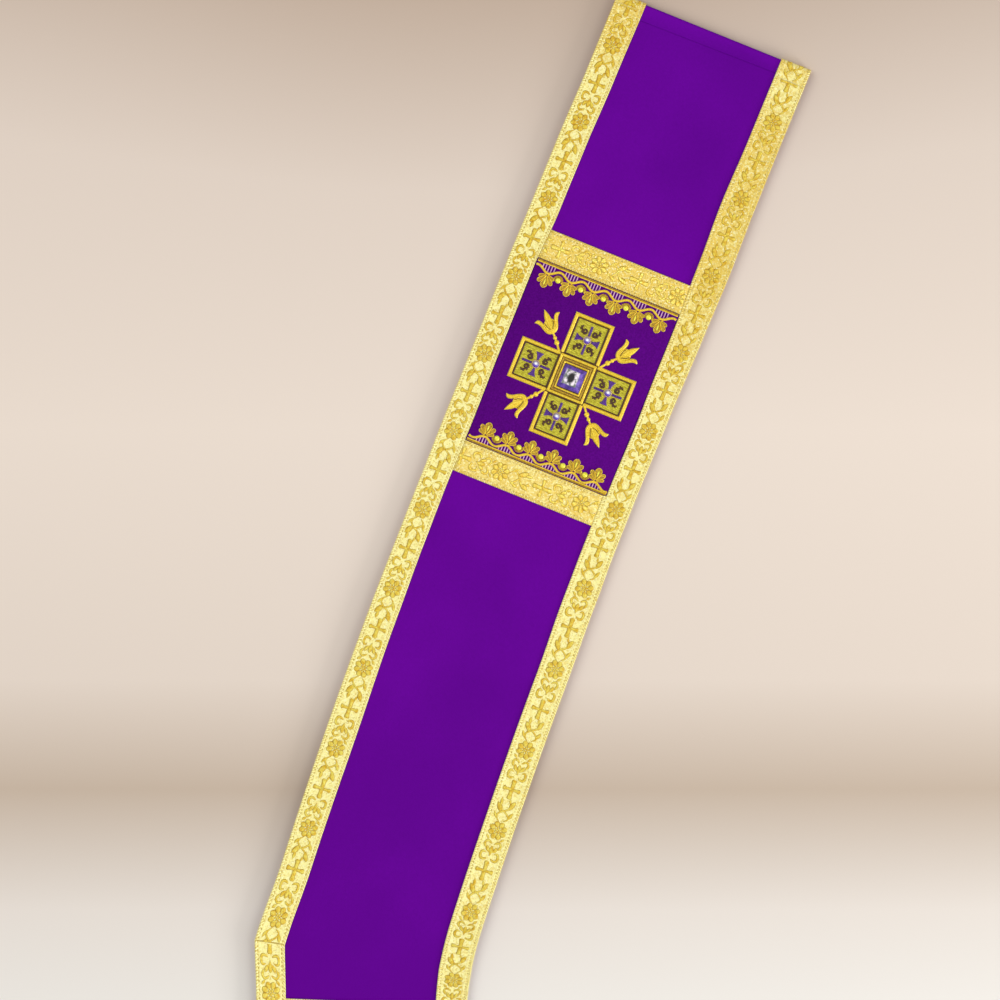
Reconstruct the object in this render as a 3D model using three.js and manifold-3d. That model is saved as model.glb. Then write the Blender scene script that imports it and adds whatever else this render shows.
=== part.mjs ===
// A deacon's stole laid flat. It is one long band of purple cloth, folded over at the shoulder so
// that the front half lies on the back half. Both halves run slantwise from the shoulder to the
// hip, turn there and hang straight on. Woven gold galloon binds the long edges, three shorter
// galloons cross the front, and an embroidered panel with a raised cross, four lilies, two
// scalloped borders and five glass stones sits between the upper two.
// Units are millimetres. +Z is up, and the hanging end points along -Y.
// "Along" is measured down the band's middle line from the outer edge of the shoulder fold, and
// "across" from the middle line, positive towards +X.

import * as THREE from 'three';
import { mergeVertices } from 'three/addons/utils/BufferGeometryUtils.js';
import Module from 'manifold-3d';

const wasm = await Module();
wasm.setup();
const { degToRad } = THREE.MathUtils;

// Driving dimensions of the band
const bandWidth = 140;
const bandLength = 1320;
const shoulderTilt = degToRad(22);
const hipTilt = degToRad(17.7);
const straightRun = 338;
const shapedRun = 277;
const hipInnerRadius = 213;
const hipMiddleRadius = hipInnerRadius + bandWidth / 2;
const hipBendRun = hipMiddleRadius * hipTilt;
const mitreInner = 49;

// Walls, as distances of their two faces from the axis of the shoulder fold
const clothWall = { inner: 0.2, outer: 2, chamfer: 0.6 };
const trimWall = { inner: 2.3, outer: 3.2, chamfer: 0.25 };
const clothInset = 0.6;
const foldAxisHeight = trimWall.outer;
const foldAxisAlong = trimWall.outer;
const gap = 0.3;

// The galloons across the front, the panel between two of them, and the seams at the shoulder,
// where the front half's pieces meet the back half's
const crossGalloons = [
  { name: 'cross_galloon_upper', along: 163.3, width: 20.6, tilt: shoulderTilt },
  { name: 'cross_galloon_lower', along: 314.1, width: 22, tilt: shoulderTilt },
  { name: 'cross_galloon_hip', along: 687.5, width: 22, tilt: degToRad(2.4) },
];
const panelTop = 183.9;
const panelBottom = 313.8;
const panelMiddle = (panelTop + panelBottom) / 2;
const clothSeam = { along: 11.8, slant: -0.0143 };
const leftGalloonSeam = { along: 6.8, slant: 0 };
const rightGalloonSeam = { along: 13.1, slant: 0 };

// The edges as the hand-guided sewing left them: distances from the middle line to the outer and
// inner edge of each galloon
const edgeRows = [
  { along: 0, leftOuter: 68.8, leftInner: 48.5, rightInner: 48.4, rightOuter: 69.6 },
  { along: 56, leftOuter: 69.0, leftInner: 49.3, rightInner: 48.1, rightOuter: 69.3 },
  { along: 104, leftOuter: 69.9, leftInner: 50.4, rightInner: 47.1, rightOuter: 69.4 },
  { along: 150, leftOuter: 70.1, leftInner: 50.6, rightInner: 48.3, rightOuter: 70.2 },
  { along: 192, leftOuter: 70.5, leftInner: 52.5, rightInner: 49.3, rightOuter: 69.6 },
  { along: 250, leftOuter: 70.4, leftInner: 52.4, rightInner: 48.3, rightOuter: 68.6 },
  { along: 305, leftOuter: 70.4, leftInner: 51.7, rightInner: 47.1, rightOuter: 68.1 },
  { along: 345, leftOuter: 70.0, leftInner: 51.9, rightInner: 47.4, rightOuter: 68.3 },
  { along: 385, leftOuter: 69.9, leftInner: 51.5, rightInner: 47.8, rightOuter: 69.2 },
  { along: 440, leftOuter: 70.2, leftInner: 50.8, rightInner: 49.0, rightOuter: 70.1 },
  { along: 524, leftOuter: 70.2, leftInner: 49.7, rightInner: 49.0, rightOuter: 70.1 },
  { along: 615, leftOuter: 70.1, leftInner: 50.2, rightInner: 48.7, rightOuter: 70.0 },
  { along: 652, leftOuter: 71.6, leftInner: 51.5, rightInner: 48.6, rightOuter: 69.6 },
  { along: 690, leftOuter: 70.3, leftInner: 50.7, rightInner: 48.5, rightOuter: 69.1 },
  { along: bandLength, leftOuter: 70.0, leftInner: 50.4, rightInner: 48.6, rightOuter: 69.7 },
];

// Stretches of the middle line, each turning evenly from one tilt to the next
const stretches = [
  { name: 'upper straight', length: straightRun, from: shoulderTilt, to: shoulderTilt },
  { name: 'shaped side', length: shapedRun, from: shoulderTilt, to: hipTilt },
  { name: 'hip bend', length: hipBendRun, from: hipTilt, to: 0 },
  { name: 'hanging end', length: bandLength - straightRun - shapedRun - hipBendRun, from: 0, to: 0 },
];
const hipBendStart = straightRun + shapedRun;
const hipBendEnd = hipBendStart + hipBendRun;

// Soft waves where the front half doesn't lie quite flat on the back half
const waves = [
  { along: 78, across: -20, length: 60, breadth: 75, height: 0.7, turn: 12 },
  { along: 118, across: 38, length: 48, breadth: 60, height: 0.5, turn: -20 },
  { along: 428, across: 30, length: 95, breadth: 70, height: 1.0, turn: 24 },
  { along: 462, across: -58, length: 62, breadth: 50, height: 0.6, turn: 0 },
  { along: 560, across: -12, length: 120, breadth: 85, height: 0.9, turn: -18 },
  { along: 622, across: 52, length: 55, breadth: 60, height: 0.7, turn: 10 },
  { along: 800, across: -30, length: 110, breadth: 85, height: 1.1, turn: 15 },
  { along: 905, across: 34, length: 120, breadth: 80, height: 0.9, turn: -22 },
  { along: 1040, across: -14, length: 140, breadth: 90, height: 1.2, turn: 9 },
  { along: 1170, across: 40, length: 105, breadth: 75, height: 0.8, turn: 20 },
  { along: 1245, across: -42, length: 70, breadth: 60, height: 0.7, turn: -8 },
];

// Stretches that lie flat, because a galloon or the stiff panel holds them down
const heldFlat = [
  { from: -20, to: 22 },
  { from: 158, to: 342 },
  { from: 676, to: 722 },
  { from: 1296, to: 1340 },
];
const flatEase = 34;

// The middle line's point and tilt at a distance along it
function middleLine(along) {
  let x = 0;
  let y = 0;
  let start = 0;
  let tilt = shoulderTilt;
  for (const { length, from, to } of stretches) {
    const run = Math.min(Math.max(along - start, 0), length);
    const turning = (to - from) / length;
    tilt = from + turning * run;
    if (Math.abs(turning) < 1e-9) {
      x -= Math.sin(from) * run;
      y -= Math.cos(from) * run;
    } else {
      x += (Math.cos(tilt) - Math.cos(from)) / turning;
      y -= (Math.sin(tilt) - Math.sin(from)) / turning;
    }
    start += length;
    if (along <= start) break;
  }
  return { x, y, tilt };
}

// At the hip the left galloon turns in a mitred corner, which fades out towards the right edge
function mitred(along, across, tilt) {
  if (along <= hipBendStart || along >= hipBendEnd) return across;
  const fade = Math.min(1, (bandWidth / 2 - across) / (bandWidth / 2 + mitreInner));
  const stretch = 1 / Math.cos(Math.min(tilt, hipTilt - tilt)) - 1;
  const radius = hipMiddleRadius - across;
  return hipMiddleRadius - radius * (1 + stretch * fade);
}

// The point on the floor plan under a place on the band
function plan(along, across) {
  const { x, y, tilt } = middleLine(along);
  const reach = mitred(along, across, tilt);
  return [x + Math.cos(tilt) * reach, y - Math.sin(tilt) * reach];
}

// A galloon edge's distance from the middle line, eased from row to row
function edge(name, along) {
  const next = Math.max(1, edgeRows.findIndex((row) => row.along >= along));
  const [before, after] = [edgeRows[next - 1], edgeRows[next]];
  const share = THREE.MathUtils.smoothstep(along, before.along, after.along);
  return THREE.MathUtils.lerp(before[name], after[name], share);
}

function softBump(value) {
  return Math.abs(value) < 1 ? (1 + Math.cos(Math.PI * value)) / 2 : 0;
}

// How far the front half stands off the back half
function lift(along, across) {
  const free = heldFlat.reduce((least, { from, to }) => {
    const away = Math.max(from - along, along - to, 0);
    return Math.min(least, THREE.MathUtils.smoothstep(away, 0, flatEase));
  }, 1);
  const sum = waves.reduce((total, wave) => {
    const turn = degToRad(wave.turn);
    const ahead = along - wave.along;
    const aside = across - wave.across;
    const u = (ahead * Math.cos(turn) + aside * Math.sin(turn)) / wave.length;
    const v = (aside * Math.cos(turn) - ahead * Math.sin(turn)) / wave.breadth;
    return total + wave.height * softBump(u) * softBump(v);
  }, 0);
  return free * sum;
}

// Stations along the band, closer together where it turns
const foldSteps = 8;
const clothColumns = 5;
const frontSteps = { first: 12, slant: 22, bend: 11, hang: 32 };
const backSteps = { first: 40, slant: 55, bend: 11, hang: 150 };

function spaced(from, to, step) {
  const count = Math.max(1, Math.round((to - from) / step));
  return Array.from({ length: count }, (_, i) => from + ((to - from) * i) / count);
}

function stationsFrom(start, { first, slant, bend, hang }) {
  const bendMiddle = (hipBendStart + hipBendEnd) / 2;
  return [
    ...spaced(start + first, straightRun, slant),
    ...spaced(straightRun, hipBendStart, slant),
    ...spaced(hipBendStart, bendMiddle, bend),
    ...spaced(bendMiddle, hipBendEnd, bend),
    ...spaced(hipBendEnd, bandLength, hang),
    bandLength,
  ];
}

function frontPath(seam) {
  return [
    { along: seam.along + gap / 2, angle: 0, slant: seam.slant },
    ...stationsFrom(seam.along, frontSteps).map((along) => ({ along, angle: 0 })),
  ];
}

function backPath(seam) {
  return [
    { along: seam.along - gap / 2, angle: 0, slant: seam.slant },
    ...Array.from({ length: foldSteps + 1 }, (_, i) => ({
      along: foldAxisAlong,
      angle: (Math.PI * i) / foldSteps,
    })),
    ...stationsFrom(foldAxisAlong, backSteps).map((along) => ({ along, angle: Math.PI })),
  ];
}

// A place on a wall: a station, a distance across, and a distance from the fold's axis
function onWall({ along, angle, slant = 0 }, across, radius) {
  const [x, y] = plan(along + slant * across - radius * Math.sin(angle), across);
  const raised = angle === 0 ? lift(along, across) : 0;
  return [x, y, foldAxisHeight + radius * Math.cos(angle) + raised];
}

// A wall's section, with chamfered edges and a number of columns between them on both faces
function wallSection(left, right, { inner, outer, chamfer }, columnCount = 0) {
  const columns = Array.from({ length: columnCount }, (_, i) =>
    THREE.MathUtils.lerp(left, right, (i + 1) / (columnCount + 1)),
  );
  return [
    [left, inner + chamfer],
    [left + chamfer, inner],
    ...columns.map((across) => [across, inner]),
    [right - chamfer, inner],
    [right, inner + chamfer],
    [right, outer - chamfer],
    [right - chamfer, outer],
    ...[...columns].reverse().map((across) => [across, outer]),
    [left + chamfer, outer],
    [left, outer - chamfer],
  ];
}

function signedVolume(positions, index) {
  const [a, b, c] = [new THREE.Vector3(), new THREE.Vector3(), new THREE.Vector3()];
  let volume = 0;
  for (let i = 0; i < index.length; i += 3) {
    a.fromArray(positions, 3 * index[i]);
    b.fromArray(positions, 3 * index[i + 1]);
    c.fromArray(positions, 3 * index[i + 2]);
    volume += a.dot(b.cross(c)) / 6;
  }
  return volume;
}

// A closed wall swept through stations, with its section worked out at each
function sweep(stations, sectionAt) {
  const sections = stations.map(({ along }) => sectionAt(along));
  const positions = stations.flatMap((station, s) =>
    sections[s].flatMap(([across, radius]) => onWall(station, across, radius)),
  );
  const count = sections[0].length;
  const last = (stations.length - 1) * count;
  const index = [];
  for (let s = 0; s < stations.length - 1; s += 1) {
    for (let p = 0; p < count; p += 1) {
      const a = s * count + p;
      const b = s * count + ((p + 1) % count);
      index.push(a, b, b + count, a, b + count, a + count);
    }
  }
  const outline = sections[0].map(([across, radius]) => new THREE.Vector2(across, radius));
  for (const [a, b, c] of THREE.ShapeUtils.triangulateShape(outline, [])) {
    index.push(a, c, b, last + a, last + b, last + c);
  }
  if (signedVolume(positions, index) < 0) index.reverse();
  const geometry = new THREE.BufferGeometry();
  geometry.setAttribute('position', new THREE.Float32BufferAttribute(positions, 3));
  geometry.setIndex(index);
  return geometry;
}

// Materials
const purple = new THREE.MeshStandardMaterial({ color: 0x630793, roughness: 0.75, metalness: 0 });
const darkPurple = new THREE.MeshStandardMaterial({ color: 0x4f0672, roughness: 0.8, metalness: 0 });
const gold = new THREE.MeshStandardMaterial({ color: 0xe8cc70, roughness: 0.45, metalness: 0.35 });
const crystal = new THREE.MeshStandardMaterial({ color: 0x8f6ec8, roughness: 0.1, metalness: 0.2 });

function piece(name, geometry, material) {
  const mesh = new THREE.Mesh(geometry, material);
  mesh.name = name;
  return mesh;
}

// Sections of the cloth halves and of the galloons along the edges
function clothSection(columnCount) {
  return (along) => {
    const left = -edge('leftOuter', along) + clothInset;
    const right = edge('rightOuter', along) - clothInset;
    return wallSection(left, right, clothWall, columnCount);
  };
}

function leftGalloonSection(along) {
  return wallSection(-edge('leftOuter', along), -edge('leftInner', along), trimWall);
}

function rightGalloonSection(along) {
  return wallSection(edge('rightInner', along), edge('rightOuter', along), trimWall);
}

// Where a straight line over the band meets the inner edge of the left (-1) or right (1) galloon
function innerCrossing(start, heading, side, near) {
  const name = side < 0 ? 'leftInner' : 'rightInner';
  const place = (along) => plan(along, side * (edge(name, along) - gap));
  const offLine = (along) => {
    const [x, y] = place(along);
    return (x - start[0]) * heading[1] - (y - start[1]) * heading[0];
  };
  let low = near - 60;
  let high = near + 60;
  const rising = offLine(high) > offLine(low);
  for (let i = 0; i < 40; i += 1) {
    const halfway = (low + high) / 2;
    if (offLine(halfway) > 0 === rising) high = halfway;
    else low = halfway;
  }
  return place((low + high) / 2);
}

// A galloon across the front, which ends just short of the edge galloons
function crossGalloon({ name, along, width, tilt }) {
  const heading = [Math.cos(tilt), -Math.sin(tilt)];
  const [x, y] = plan(along, 0);
  const [top, low] = [0, width - gap].map((drop) => {
    const start = [x - Math.sin(tilt) * drop, y - Math.cos(tilt) * drop];
    return [-1, 1].map((side) => innerCrossing(start, heading, side, along + drop));
  });
  const corners = [top[0], low[0], low[1], top[1]].map((corner) => new THREE.Vector2(...corner));
  const depth = trimWall.outer - trimWall.inner;
  const geometry = new THREE.ExtrudeGeometry(new THREE.Shape(corners), { depth, bevelEnabled: false });
  return piece(name, geometry.translate(0, 0, foldAxisHeight + trimWall.inner), gold);
}

// Joining closed shapes into one body
function toSolid(geometry) {
  const bare = geometry.index ? geometry.toNonIndexed() : geometry.clone();
  bare.deleteAttribute('normal');
  bare.deleteAttribute('uv');
  const merged = mergeVertices(bare, 1e-4);
  const mesh = new wasm.Mesh({
    numProp: 3,
    vertProperties: merged.attributes.position.array,
    triVerts: new Uint32Array(merged.index.array),
  });
  return new wasm.Manifold(mesh);
}

function fromSolid(solid) {
  const { vertProperties, triVerts } = solid.getMesh();
  const geometry = new THREE.BufferGeometry();
  geometry.setAttribute('position', new THREE.BufferAttribute(vertProperties, 3));
  geometry.setIndex(new THREE.BufferAttribute(triVerts, 1));
  return geometry;
}

function slab(width, length, base, top, x = 0, y = 0) {
  return toSolid(new THREE.BoxGeometry(width, length, top - base).translate(x, y, (base + top) / 2));
}

function raised(shape, base, top, rounding = 0) {
  const bevel = {
    bevelEnabled: rounding > 0,
    bevelSegments: 1,
    bevelSize: rounding,
    bevelThickness: rounding,
    bevelOffset: -rounding,
  };
  const depth = top - base - 2 * bevel.bevelEnabled * rounding;
  const geometry = new THREE.ExtrudeGeometry(shape, { depth, curveSegments: 3, ...bevel });
  return geometry.translate(0, 0, base + (bevel.bevelEnabled ? rounding : 0));
}

// The embroidered panel's own sizes, x across and y up the band from the middle of the panel.
// Heights are above the panel's back face, and a border is measured inwards from its edge.
const panelLength = panelBottom - panelTop - gap;
const tops = {
  ground: 0.8,
  seat: 1.1,
  stem: 1.4,
  field: 1.45,
  rail: 1.5,
  sunkBand: 1.6,
  shell: 1.6,
  cord: 1.7,
  lily: 1.9,
  bead: 1.9,
  bobble: 1.9,
  frame: 1.9,
  centre: 2.1,
};
const rootHeight = 0.4;
const clear = 1;
const crossMiddle = { x: -1.3, y: -1.2 };
const cellWidth = 27;
const cellLength = 28.4;
const cellOverlap = 0.3;
const frameWidth = 2.4;
const innerRimWidth = 1;
const stoneSide = 15.4;
const stem = { start: 17.4, end: 33.3, width: 0.9 };
const lilyStart = 32.3;
const lilyRounding = 0.4;
const bead = { along: 25.9, topRadius: 1.1, rootRadius: 1.6, sides: 8 };
const upperBorder = { middle: -1.7, pitch: 16.2 };
const lowerBorder = { middle: 0.9, pitch: 15.8 };
const scallop = { count: 6, hinge: -8.2, steps: 18, halfOpening: degToRad(82) };
const wavingCord = { width: 1.4, middle: -5.5, swing: 1.7, stepsPerScallop: 6 };
const rail = { width: 2, middle: -1.2 };
const bobble = { along: -9.1, topRadius: 1.2, rootRadius: 2, sides: 10 };

// The four arms of the cross, as steps from its middle cell
const arms = [
  { name: 'top', x: 0, y: 1 },
  { name: 'right', x: 1, y: 0 },
  { name: 'bottom', x: 0, y: -1 },
  { name: 'left', x: -1, y: 0 },
];

function armFieldMiddle({ x, y }) {
  return [x * (cellWidth - frameWidth / 2), y * (cellLength - frameWidth / 2)];
}

// One arm of the cross: a raised field that leaves the middle cell, with a higher frame round its
// three other sides
function crossArm(arm) {
  const fieldWidth = cellWidth - frameWidth * (arm.x === 0 ? 2 : 1);
  const fieldLength = cellLength - frameWidth * (arm.y === 0 ? 2 : 1);
  const frame = slab(cellWidth, cellLength, rootHeight, tops.frame, arm.x * cellWidth, arm.y * cellLength);
  const above = tops.frame + clear;
  return frame.subtract(slab(fieldWidth, fieldLength, tops.field, above, ...armFieldMiddle(arm)));
}

// The middle of the cross: two frames with a sunk band between them, and the stone's seat.
// It reaches a little over the four arms, so that no two cells meet at a bare corner.
function crossCentre() {
  const longer = cellLength - cellWidth;
  const frameOuter = cellWidth + 2 * cellOverlap;
  const frameInner = frameOuter - 2 * frameWidth;
  const seatWidth = stoneSide + 2 * gap;
  const rimOuter = seatWidth + 2 * innerRimWidth;
  return slab(frameOuter, frameOuter + longer, rootHeight, tops.centre)
    .subtract(slab(frameInner, frameInner + longer, tops.sunkBand, tops.centre + clear))
    .add(slab(rimOuter, rimOuter + longer, rootHeight, tops.centre))
    .subtract(slab(seatWidth, seatWidth, tops.seat, tops.centre + clear));
}

// A round bead or bobble, narrower at its top
function knob({ topRadius, rootRadius, sides }, x, y, top) {
  const height = top - rootHeight;
  const cone = new THREE.CylinderGeometry(topRadius, rootRadius, height, sides).rotateX(Math.PI / 2);
  return cone.translate(x, y, rootHeight + height / 2);
}

// A lily growing along +Y from its root, with an upright petal between two that curl outwards
function lilyShape() {
  const rightSide = new THREE.Path();
  rightSide.moveTo(0, 0);
  rightSide.quadraticCurveTo(4.9, 0.4, 4.9, 4.4);
  rightSide.quadraticCurveTo(4.9, 8.6, 8.3, 10.3);
  rightSide.quadraticCurveTo(4.0, 11.0, 2.3, 6.8);
  rightSide.quadraticCurveTo(3.3, 12.0, 0, 17);
  const points = rightSide.getPoints(3);
  const mirrored = points.slice(1, -1).reverse().map(({ x, y }) => new THREE.Vector2(-x, y));
  return new THREE.Shape([...points, ...mirrored]);
}

// A lily with its stem and bead, on the diagonal between two arms
function lilySpray(quarter) {
  const stalk = new THREE.BoxGeometry(stem.width, stem.end - stem.start, tops.stem - rootHeight);
  stalk.translate(0, (stem.start + stem.end) / 2, (tops.stem + rootHeight) / 2);
  const flower = raised(lilyShape(), rootHeight, tops.lily, lilyRounding).translate(0, lilyStart, 0);
  const angle = degToRad(45 + 90 * quarter);
  return [stalk, flower, knob(bead, 0, bead.along, tops.bead)].map((geometry) =>
    toSolid(geometry.rotateZ(angle)),
  );
}

// A shell of five lobes that opens along -Y from its hinge
function shellShape() {
  const { steps, halfOpening } = scallop;
  const fan = Array.from({ length: steps + 1 }, (_, i) => {
    const turn = THREE.MathUtils.lerp(-halfOpening, halfOpening, i / steps);
    const reach = 4.2 + 4.3 * Math.cos(turn) ** 2;
    const lobe = 0.86 + 0.14 * Math.abs(Math.cos(2.5 * turn));
    return new THREE.Vector2(Math.sin(turn), -Math.cos(turn)).multiplyScalar(reach * lobe);
  });
  return new THREE.Shape([...fan, new THREE.Vector2(0.9, 0.5), new THREE.Vector2(-0.9, 0.5)]);
}

// The cord that waves along a border, over the shells and under the bobbles
function wavingCordShape(left, right, { middle: x0, pitch }) {
  const { width, middle, swing, stepsPerScallop } = wavingCord;
  const steps = stepsPerScallop * scallop.count;
  const side = (offset) =>
    Array.from({ length: steps + 1 }, (_, i) => {
      const x = THREE.MathUtils.lerp(left, right, i / steps);
      const wave = swing * Math.cos((2 * Math.PI * (x - x0)) / pitch);
      return new THREE.Vector2(x, middle + wave + offset);
    });
  return new THREE.Shape([...side(width / 2), ...side(-width / 2).reverse()]);
}

// A scalloped border that hangs from y = 0: a rail, a waving cord, shells and bobbles
function scallopedBorder(left, right, border) {
  const { count, hinge } = scallop;
  const railTop = rail.middle + rail.width / 2;
  const railLow = rail.middle - rail.width / 2;
  const railCorners = [
    new THREE.Vector2(left, railTop),
    new THREE.Vector2(left, railLow),
    new THREE.Vector2(right, railLow),
    new THREE.Vector2(right, railTop),
  ];
  const spread = (length) =>
    Array.from({ length }, (_, i) => border.middle + (i - (length - 1) / 2) * border.pitch);
  const shells = spread(count).map((x) =>
    raised(shellShape(), rootHeight, tops.shell).translate(x, hinge, 0),
  );
  const bobbles = spread(count - 1).map((x) => knob(bobble, x, bobble.along, tops.bobble));
  return [
    raised(new THREE.Shape(railCorners), rootHeight, tops.rail),
    raised(wavingCordShape(left, right, border), rootHeight, tops.cord),
    ...shells,
    ...bobbles,
  ].map(toSolid);
}

// The cross with its lilies, about its own middle
function crossAndLilies() {
  const sprays = arms.flatMap((_, quarter) => lilySpray(quarter));
  return [...arms.map(crossArm), crossCentre(), ...sprays].map((solid) =>
    solid.translate([crossMiddle.x, crossMiddle.y, 0]),
  );
}

function embroideredPanel() {
  const [top, bottom] = [panelTop, panelBottom].map((along) => ({
    left: -edge('leftInner', along) + gap,
    right: edge('rightInner', along) - gap,
  }));
  const y = panelLength / 2;
  const outline = [
    new THREE.Vector2(top.left, y),
    new THREE.Vector2(bottom.left, -y),
    new THREE.Vector2(bottom.right, -y),
    new THREE.Vector2(top.right, y),
  ];
  const cloth = toSolid(raised(new THREE.Shape(outline), 0, tops.ground));
  const inset = 0.4;
  const borders = [
    ...scallopedBorder(top.left + inset, top.right - inset, upperBorder).map((solid) =>
      solid.translate([0, y, 0]),
    ),
    ...scallopedBorder(-bottom.right + inset, -bottom.left - inset, lowerBorder).map((solid) =>
      solid.rotate([0, 0, 180]).translate([0, -y, 0]),
    ),
  ];
  return fromSolid([...crossAndLilies(), ...borders].reduce((joined, solid) => joined.add(solid), cloth));
}

// A faceted stone: its outline drawn in through rings from the girdle to the table
function stoneGeometry(sides, girdleRadius, rings) {
  const turn = Math.PI / sides;
  const points = rings.flatMap(({ share, height }) =>
    Array.from({ length: sides }, (_, i) => {
      const angle = turn + (2 * Math.PI * i) / sides;
      return [Math.cos(angle), Math.sin(angle)].map((v) => v * girdleRadius * share).concat(height);
    }).flat(),
  );
  const index = [];
  for (let r = 0; r < rings.length - 1; r += 1) {
    for (let i = 0; i < sides; i += 1) {
      const a = r * sides + i;
      const b = r * sides + ((i + 1) % sides);
      index.push(a, b, b + sides, a, b + sides, a + sides);
    }
  }
  const top = (rings.length - 1) * sides;
  for (let i = 1; i < sides - 1; i += 1) index.push(0, i + 1, i, top, top + i, top + i + 1);
  const geometry = new THREE.BufferGeometry();
  geometry.setAttribute('position', new THREE.Float32BufferAttribute(points, 3));
  geometry.setIndex(index);
  return geometry;
}

const centreStoneRings = [
  { share: 0.98, height: 0 },
  { share: 1, height: 0.9 },
  { share: 0.78, height: 2.5 },
  { share: 0.55, height: 3.4 },
];
const armStoneRadius = 2.6;
const armStoneRings = [
  { share: 0.96, height: 0 },
  { share: 1, height: 0.5 },
  { share: 0.8, height: 1.5 },
  { share: 0.45, height: 2 },
];

function stones() {
  const centre = piece('centre_stone', stoneGeometry(4, stoneSide / Math.SQRT2, centreStoneRings), crystal);
  centre.position.set(crossMiddle.x, crossMiddle.y, tops.seat + gap);
  const small = arms.map((arm) => {
    const [x, y] = armFieldMiddle(arm);
    const stone = piece(`arm_stone_${arm.name}`, stoneGeometry(10, armStoneRadius, armStoneRings), crystal);
    stone.position.set(crossMiddle.x + x, crossMiddle.y + y, tops.field + gap);
    return stone;
  });
  return [centre, ...small];
}

// Assembly
const panel = new THREE.Group();
panel.add(piece('embroidered_panel', embroideredPanel(), darkPurple), ...stones());
const [panelX, panelY] = plan(panelMiddle, 0);
panel.position.set(panelX, panelY, foldAxisHeight + trimWall.inner);
panel.rotation.z = -shoulderTilt;

const stole = new THREE.Group();
stole.add(
  piece('front_cloth', sweep(frontPath(clothSeam), clothSection(clothColumns)), purple),
  piece('back_cloth', sweep(backPath(clothSeam), clothSection(0)), purple),
  piece('front_galloon_left', sweep(frontPath(leftGalloonSeam), leftGalloonSection), gold),
  piece('front_galloon_right', sweep(frontPath(rightGalloonSeam), rightGalloonSection), gold),
  piece('back_galloon_left', sweep(backPath(leftGalloonSeam), leftGalloonSection), gold),
  piece('back_galloon_right', sweep(backPath(rightGalloonSeam), rightGalloonSection), gold),
  ...crossGalloons.map(crossGalloon),
  panel,
);

// The frame's origin is under the middle of the whole stole
stole.updateMatrixWorld(true);
const extent = new THREE.Box3().setFromObject(stole, true);
const middle = extent.getCenter(new THREE.Vector3());
stole.position.set(-middle.x, -middle.y, -extent.min.z);

export default stole;
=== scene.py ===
"""A deacon's stole laid flat: a long purple band folded at the shoulder, bound in woven gold
galloon, with an embroidered panel.

Lengths in this file are millimetres until to_frame() turns them into the frame's metres.
"Along" is measured down the band's middle line from the outer edge of the shoulder fold, and
"across" from the middle line, positive towards +X. A wall's faces are given as distances from
the axis of the shoulder fold, so one number serves the front half, the fold and the back half.
"""

import functools
import math

import bmesh
import bpy
import numpy as np
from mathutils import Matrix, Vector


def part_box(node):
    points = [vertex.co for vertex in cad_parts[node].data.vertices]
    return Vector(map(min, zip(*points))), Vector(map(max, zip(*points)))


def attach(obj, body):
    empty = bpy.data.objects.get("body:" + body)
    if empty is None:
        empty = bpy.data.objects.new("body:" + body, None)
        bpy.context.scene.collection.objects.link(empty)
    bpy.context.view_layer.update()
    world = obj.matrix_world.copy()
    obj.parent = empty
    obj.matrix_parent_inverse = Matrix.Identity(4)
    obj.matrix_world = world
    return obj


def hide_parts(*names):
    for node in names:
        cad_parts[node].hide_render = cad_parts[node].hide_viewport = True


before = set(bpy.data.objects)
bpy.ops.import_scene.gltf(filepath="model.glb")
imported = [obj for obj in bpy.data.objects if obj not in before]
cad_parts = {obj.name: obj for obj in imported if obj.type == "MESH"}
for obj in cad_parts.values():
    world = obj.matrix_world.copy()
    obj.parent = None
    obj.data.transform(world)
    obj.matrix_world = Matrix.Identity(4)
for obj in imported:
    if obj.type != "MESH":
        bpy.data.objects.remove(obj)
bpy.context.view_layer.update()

bl_info = {
    "name": "Deacon stole",
    "version": (1, 0, 0),
    "blender": (4, 5, 0),
    "location": "View3D > Sidebar > Stole",
    "description": "Makes a laid-flat deacon's stole with woven galloon and an embroidered panel",
    "category": "Add Mesh",
}

MM = 0.001

# The band's plan
BAND_WIDTH = 140
BAND_LENGTH = 1320
SHOULDER_TILT = math.radians(22)
HIP_TILT = math.radians(17.7)
STRAIGHT_RUN, SHAPED_RUN = 338, 277
HIP_MIDDLE_RADIUS = 213 + BAND_WIDTH / 2
HIP_BEND_RUN = HIP_MIDDLE_RADIUS * HIP_TILT
HIP_BEND_START = STRAIGHT_RUN + SHAPED_RUN
HIP_BEND_END = HIP_BEND_START + HIP_BEND_RUN
MITRE_INNER = 49
# Stretches of the middle line, as (length, first tilt, last tilt)
STRETCHES = (
    (STRAIGHT_RUN, SHOULDER_TILT, SHOULDER_TILT),
    (SHAPED_RUN, SHOULDER_TILT, HIP_TILT),
    (HIP_BEND_RUN, HIP_TILT, 0),
    (BAND_LENGTH - HIP_BEND_END, 0, 0),
)

# Walls and the fold's axis
CLOTH_INNER, CLOTH_OUTER, CLOTH_INSET = 0.2, 2.0, 0.6
CLOTH_CUT_WIDTH = 139
TRIM_INNER, TRIM_OUTER = 2.3, 3.2
AXIS = TRIM_OUTER
GAP = 0.3
SEWN = 0.1  # what shows between two pieces that are sewn edge to edge
# A painted sheen lightens the cloth just below the fold, over this distance
FOLD_SHEEN = 10  # how far below the fold the cloth is lighter

# The cloth's seam at the shoulder, as (along, slant)
CLOTH_SEAM = (11.8, -0.0143)
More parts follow.
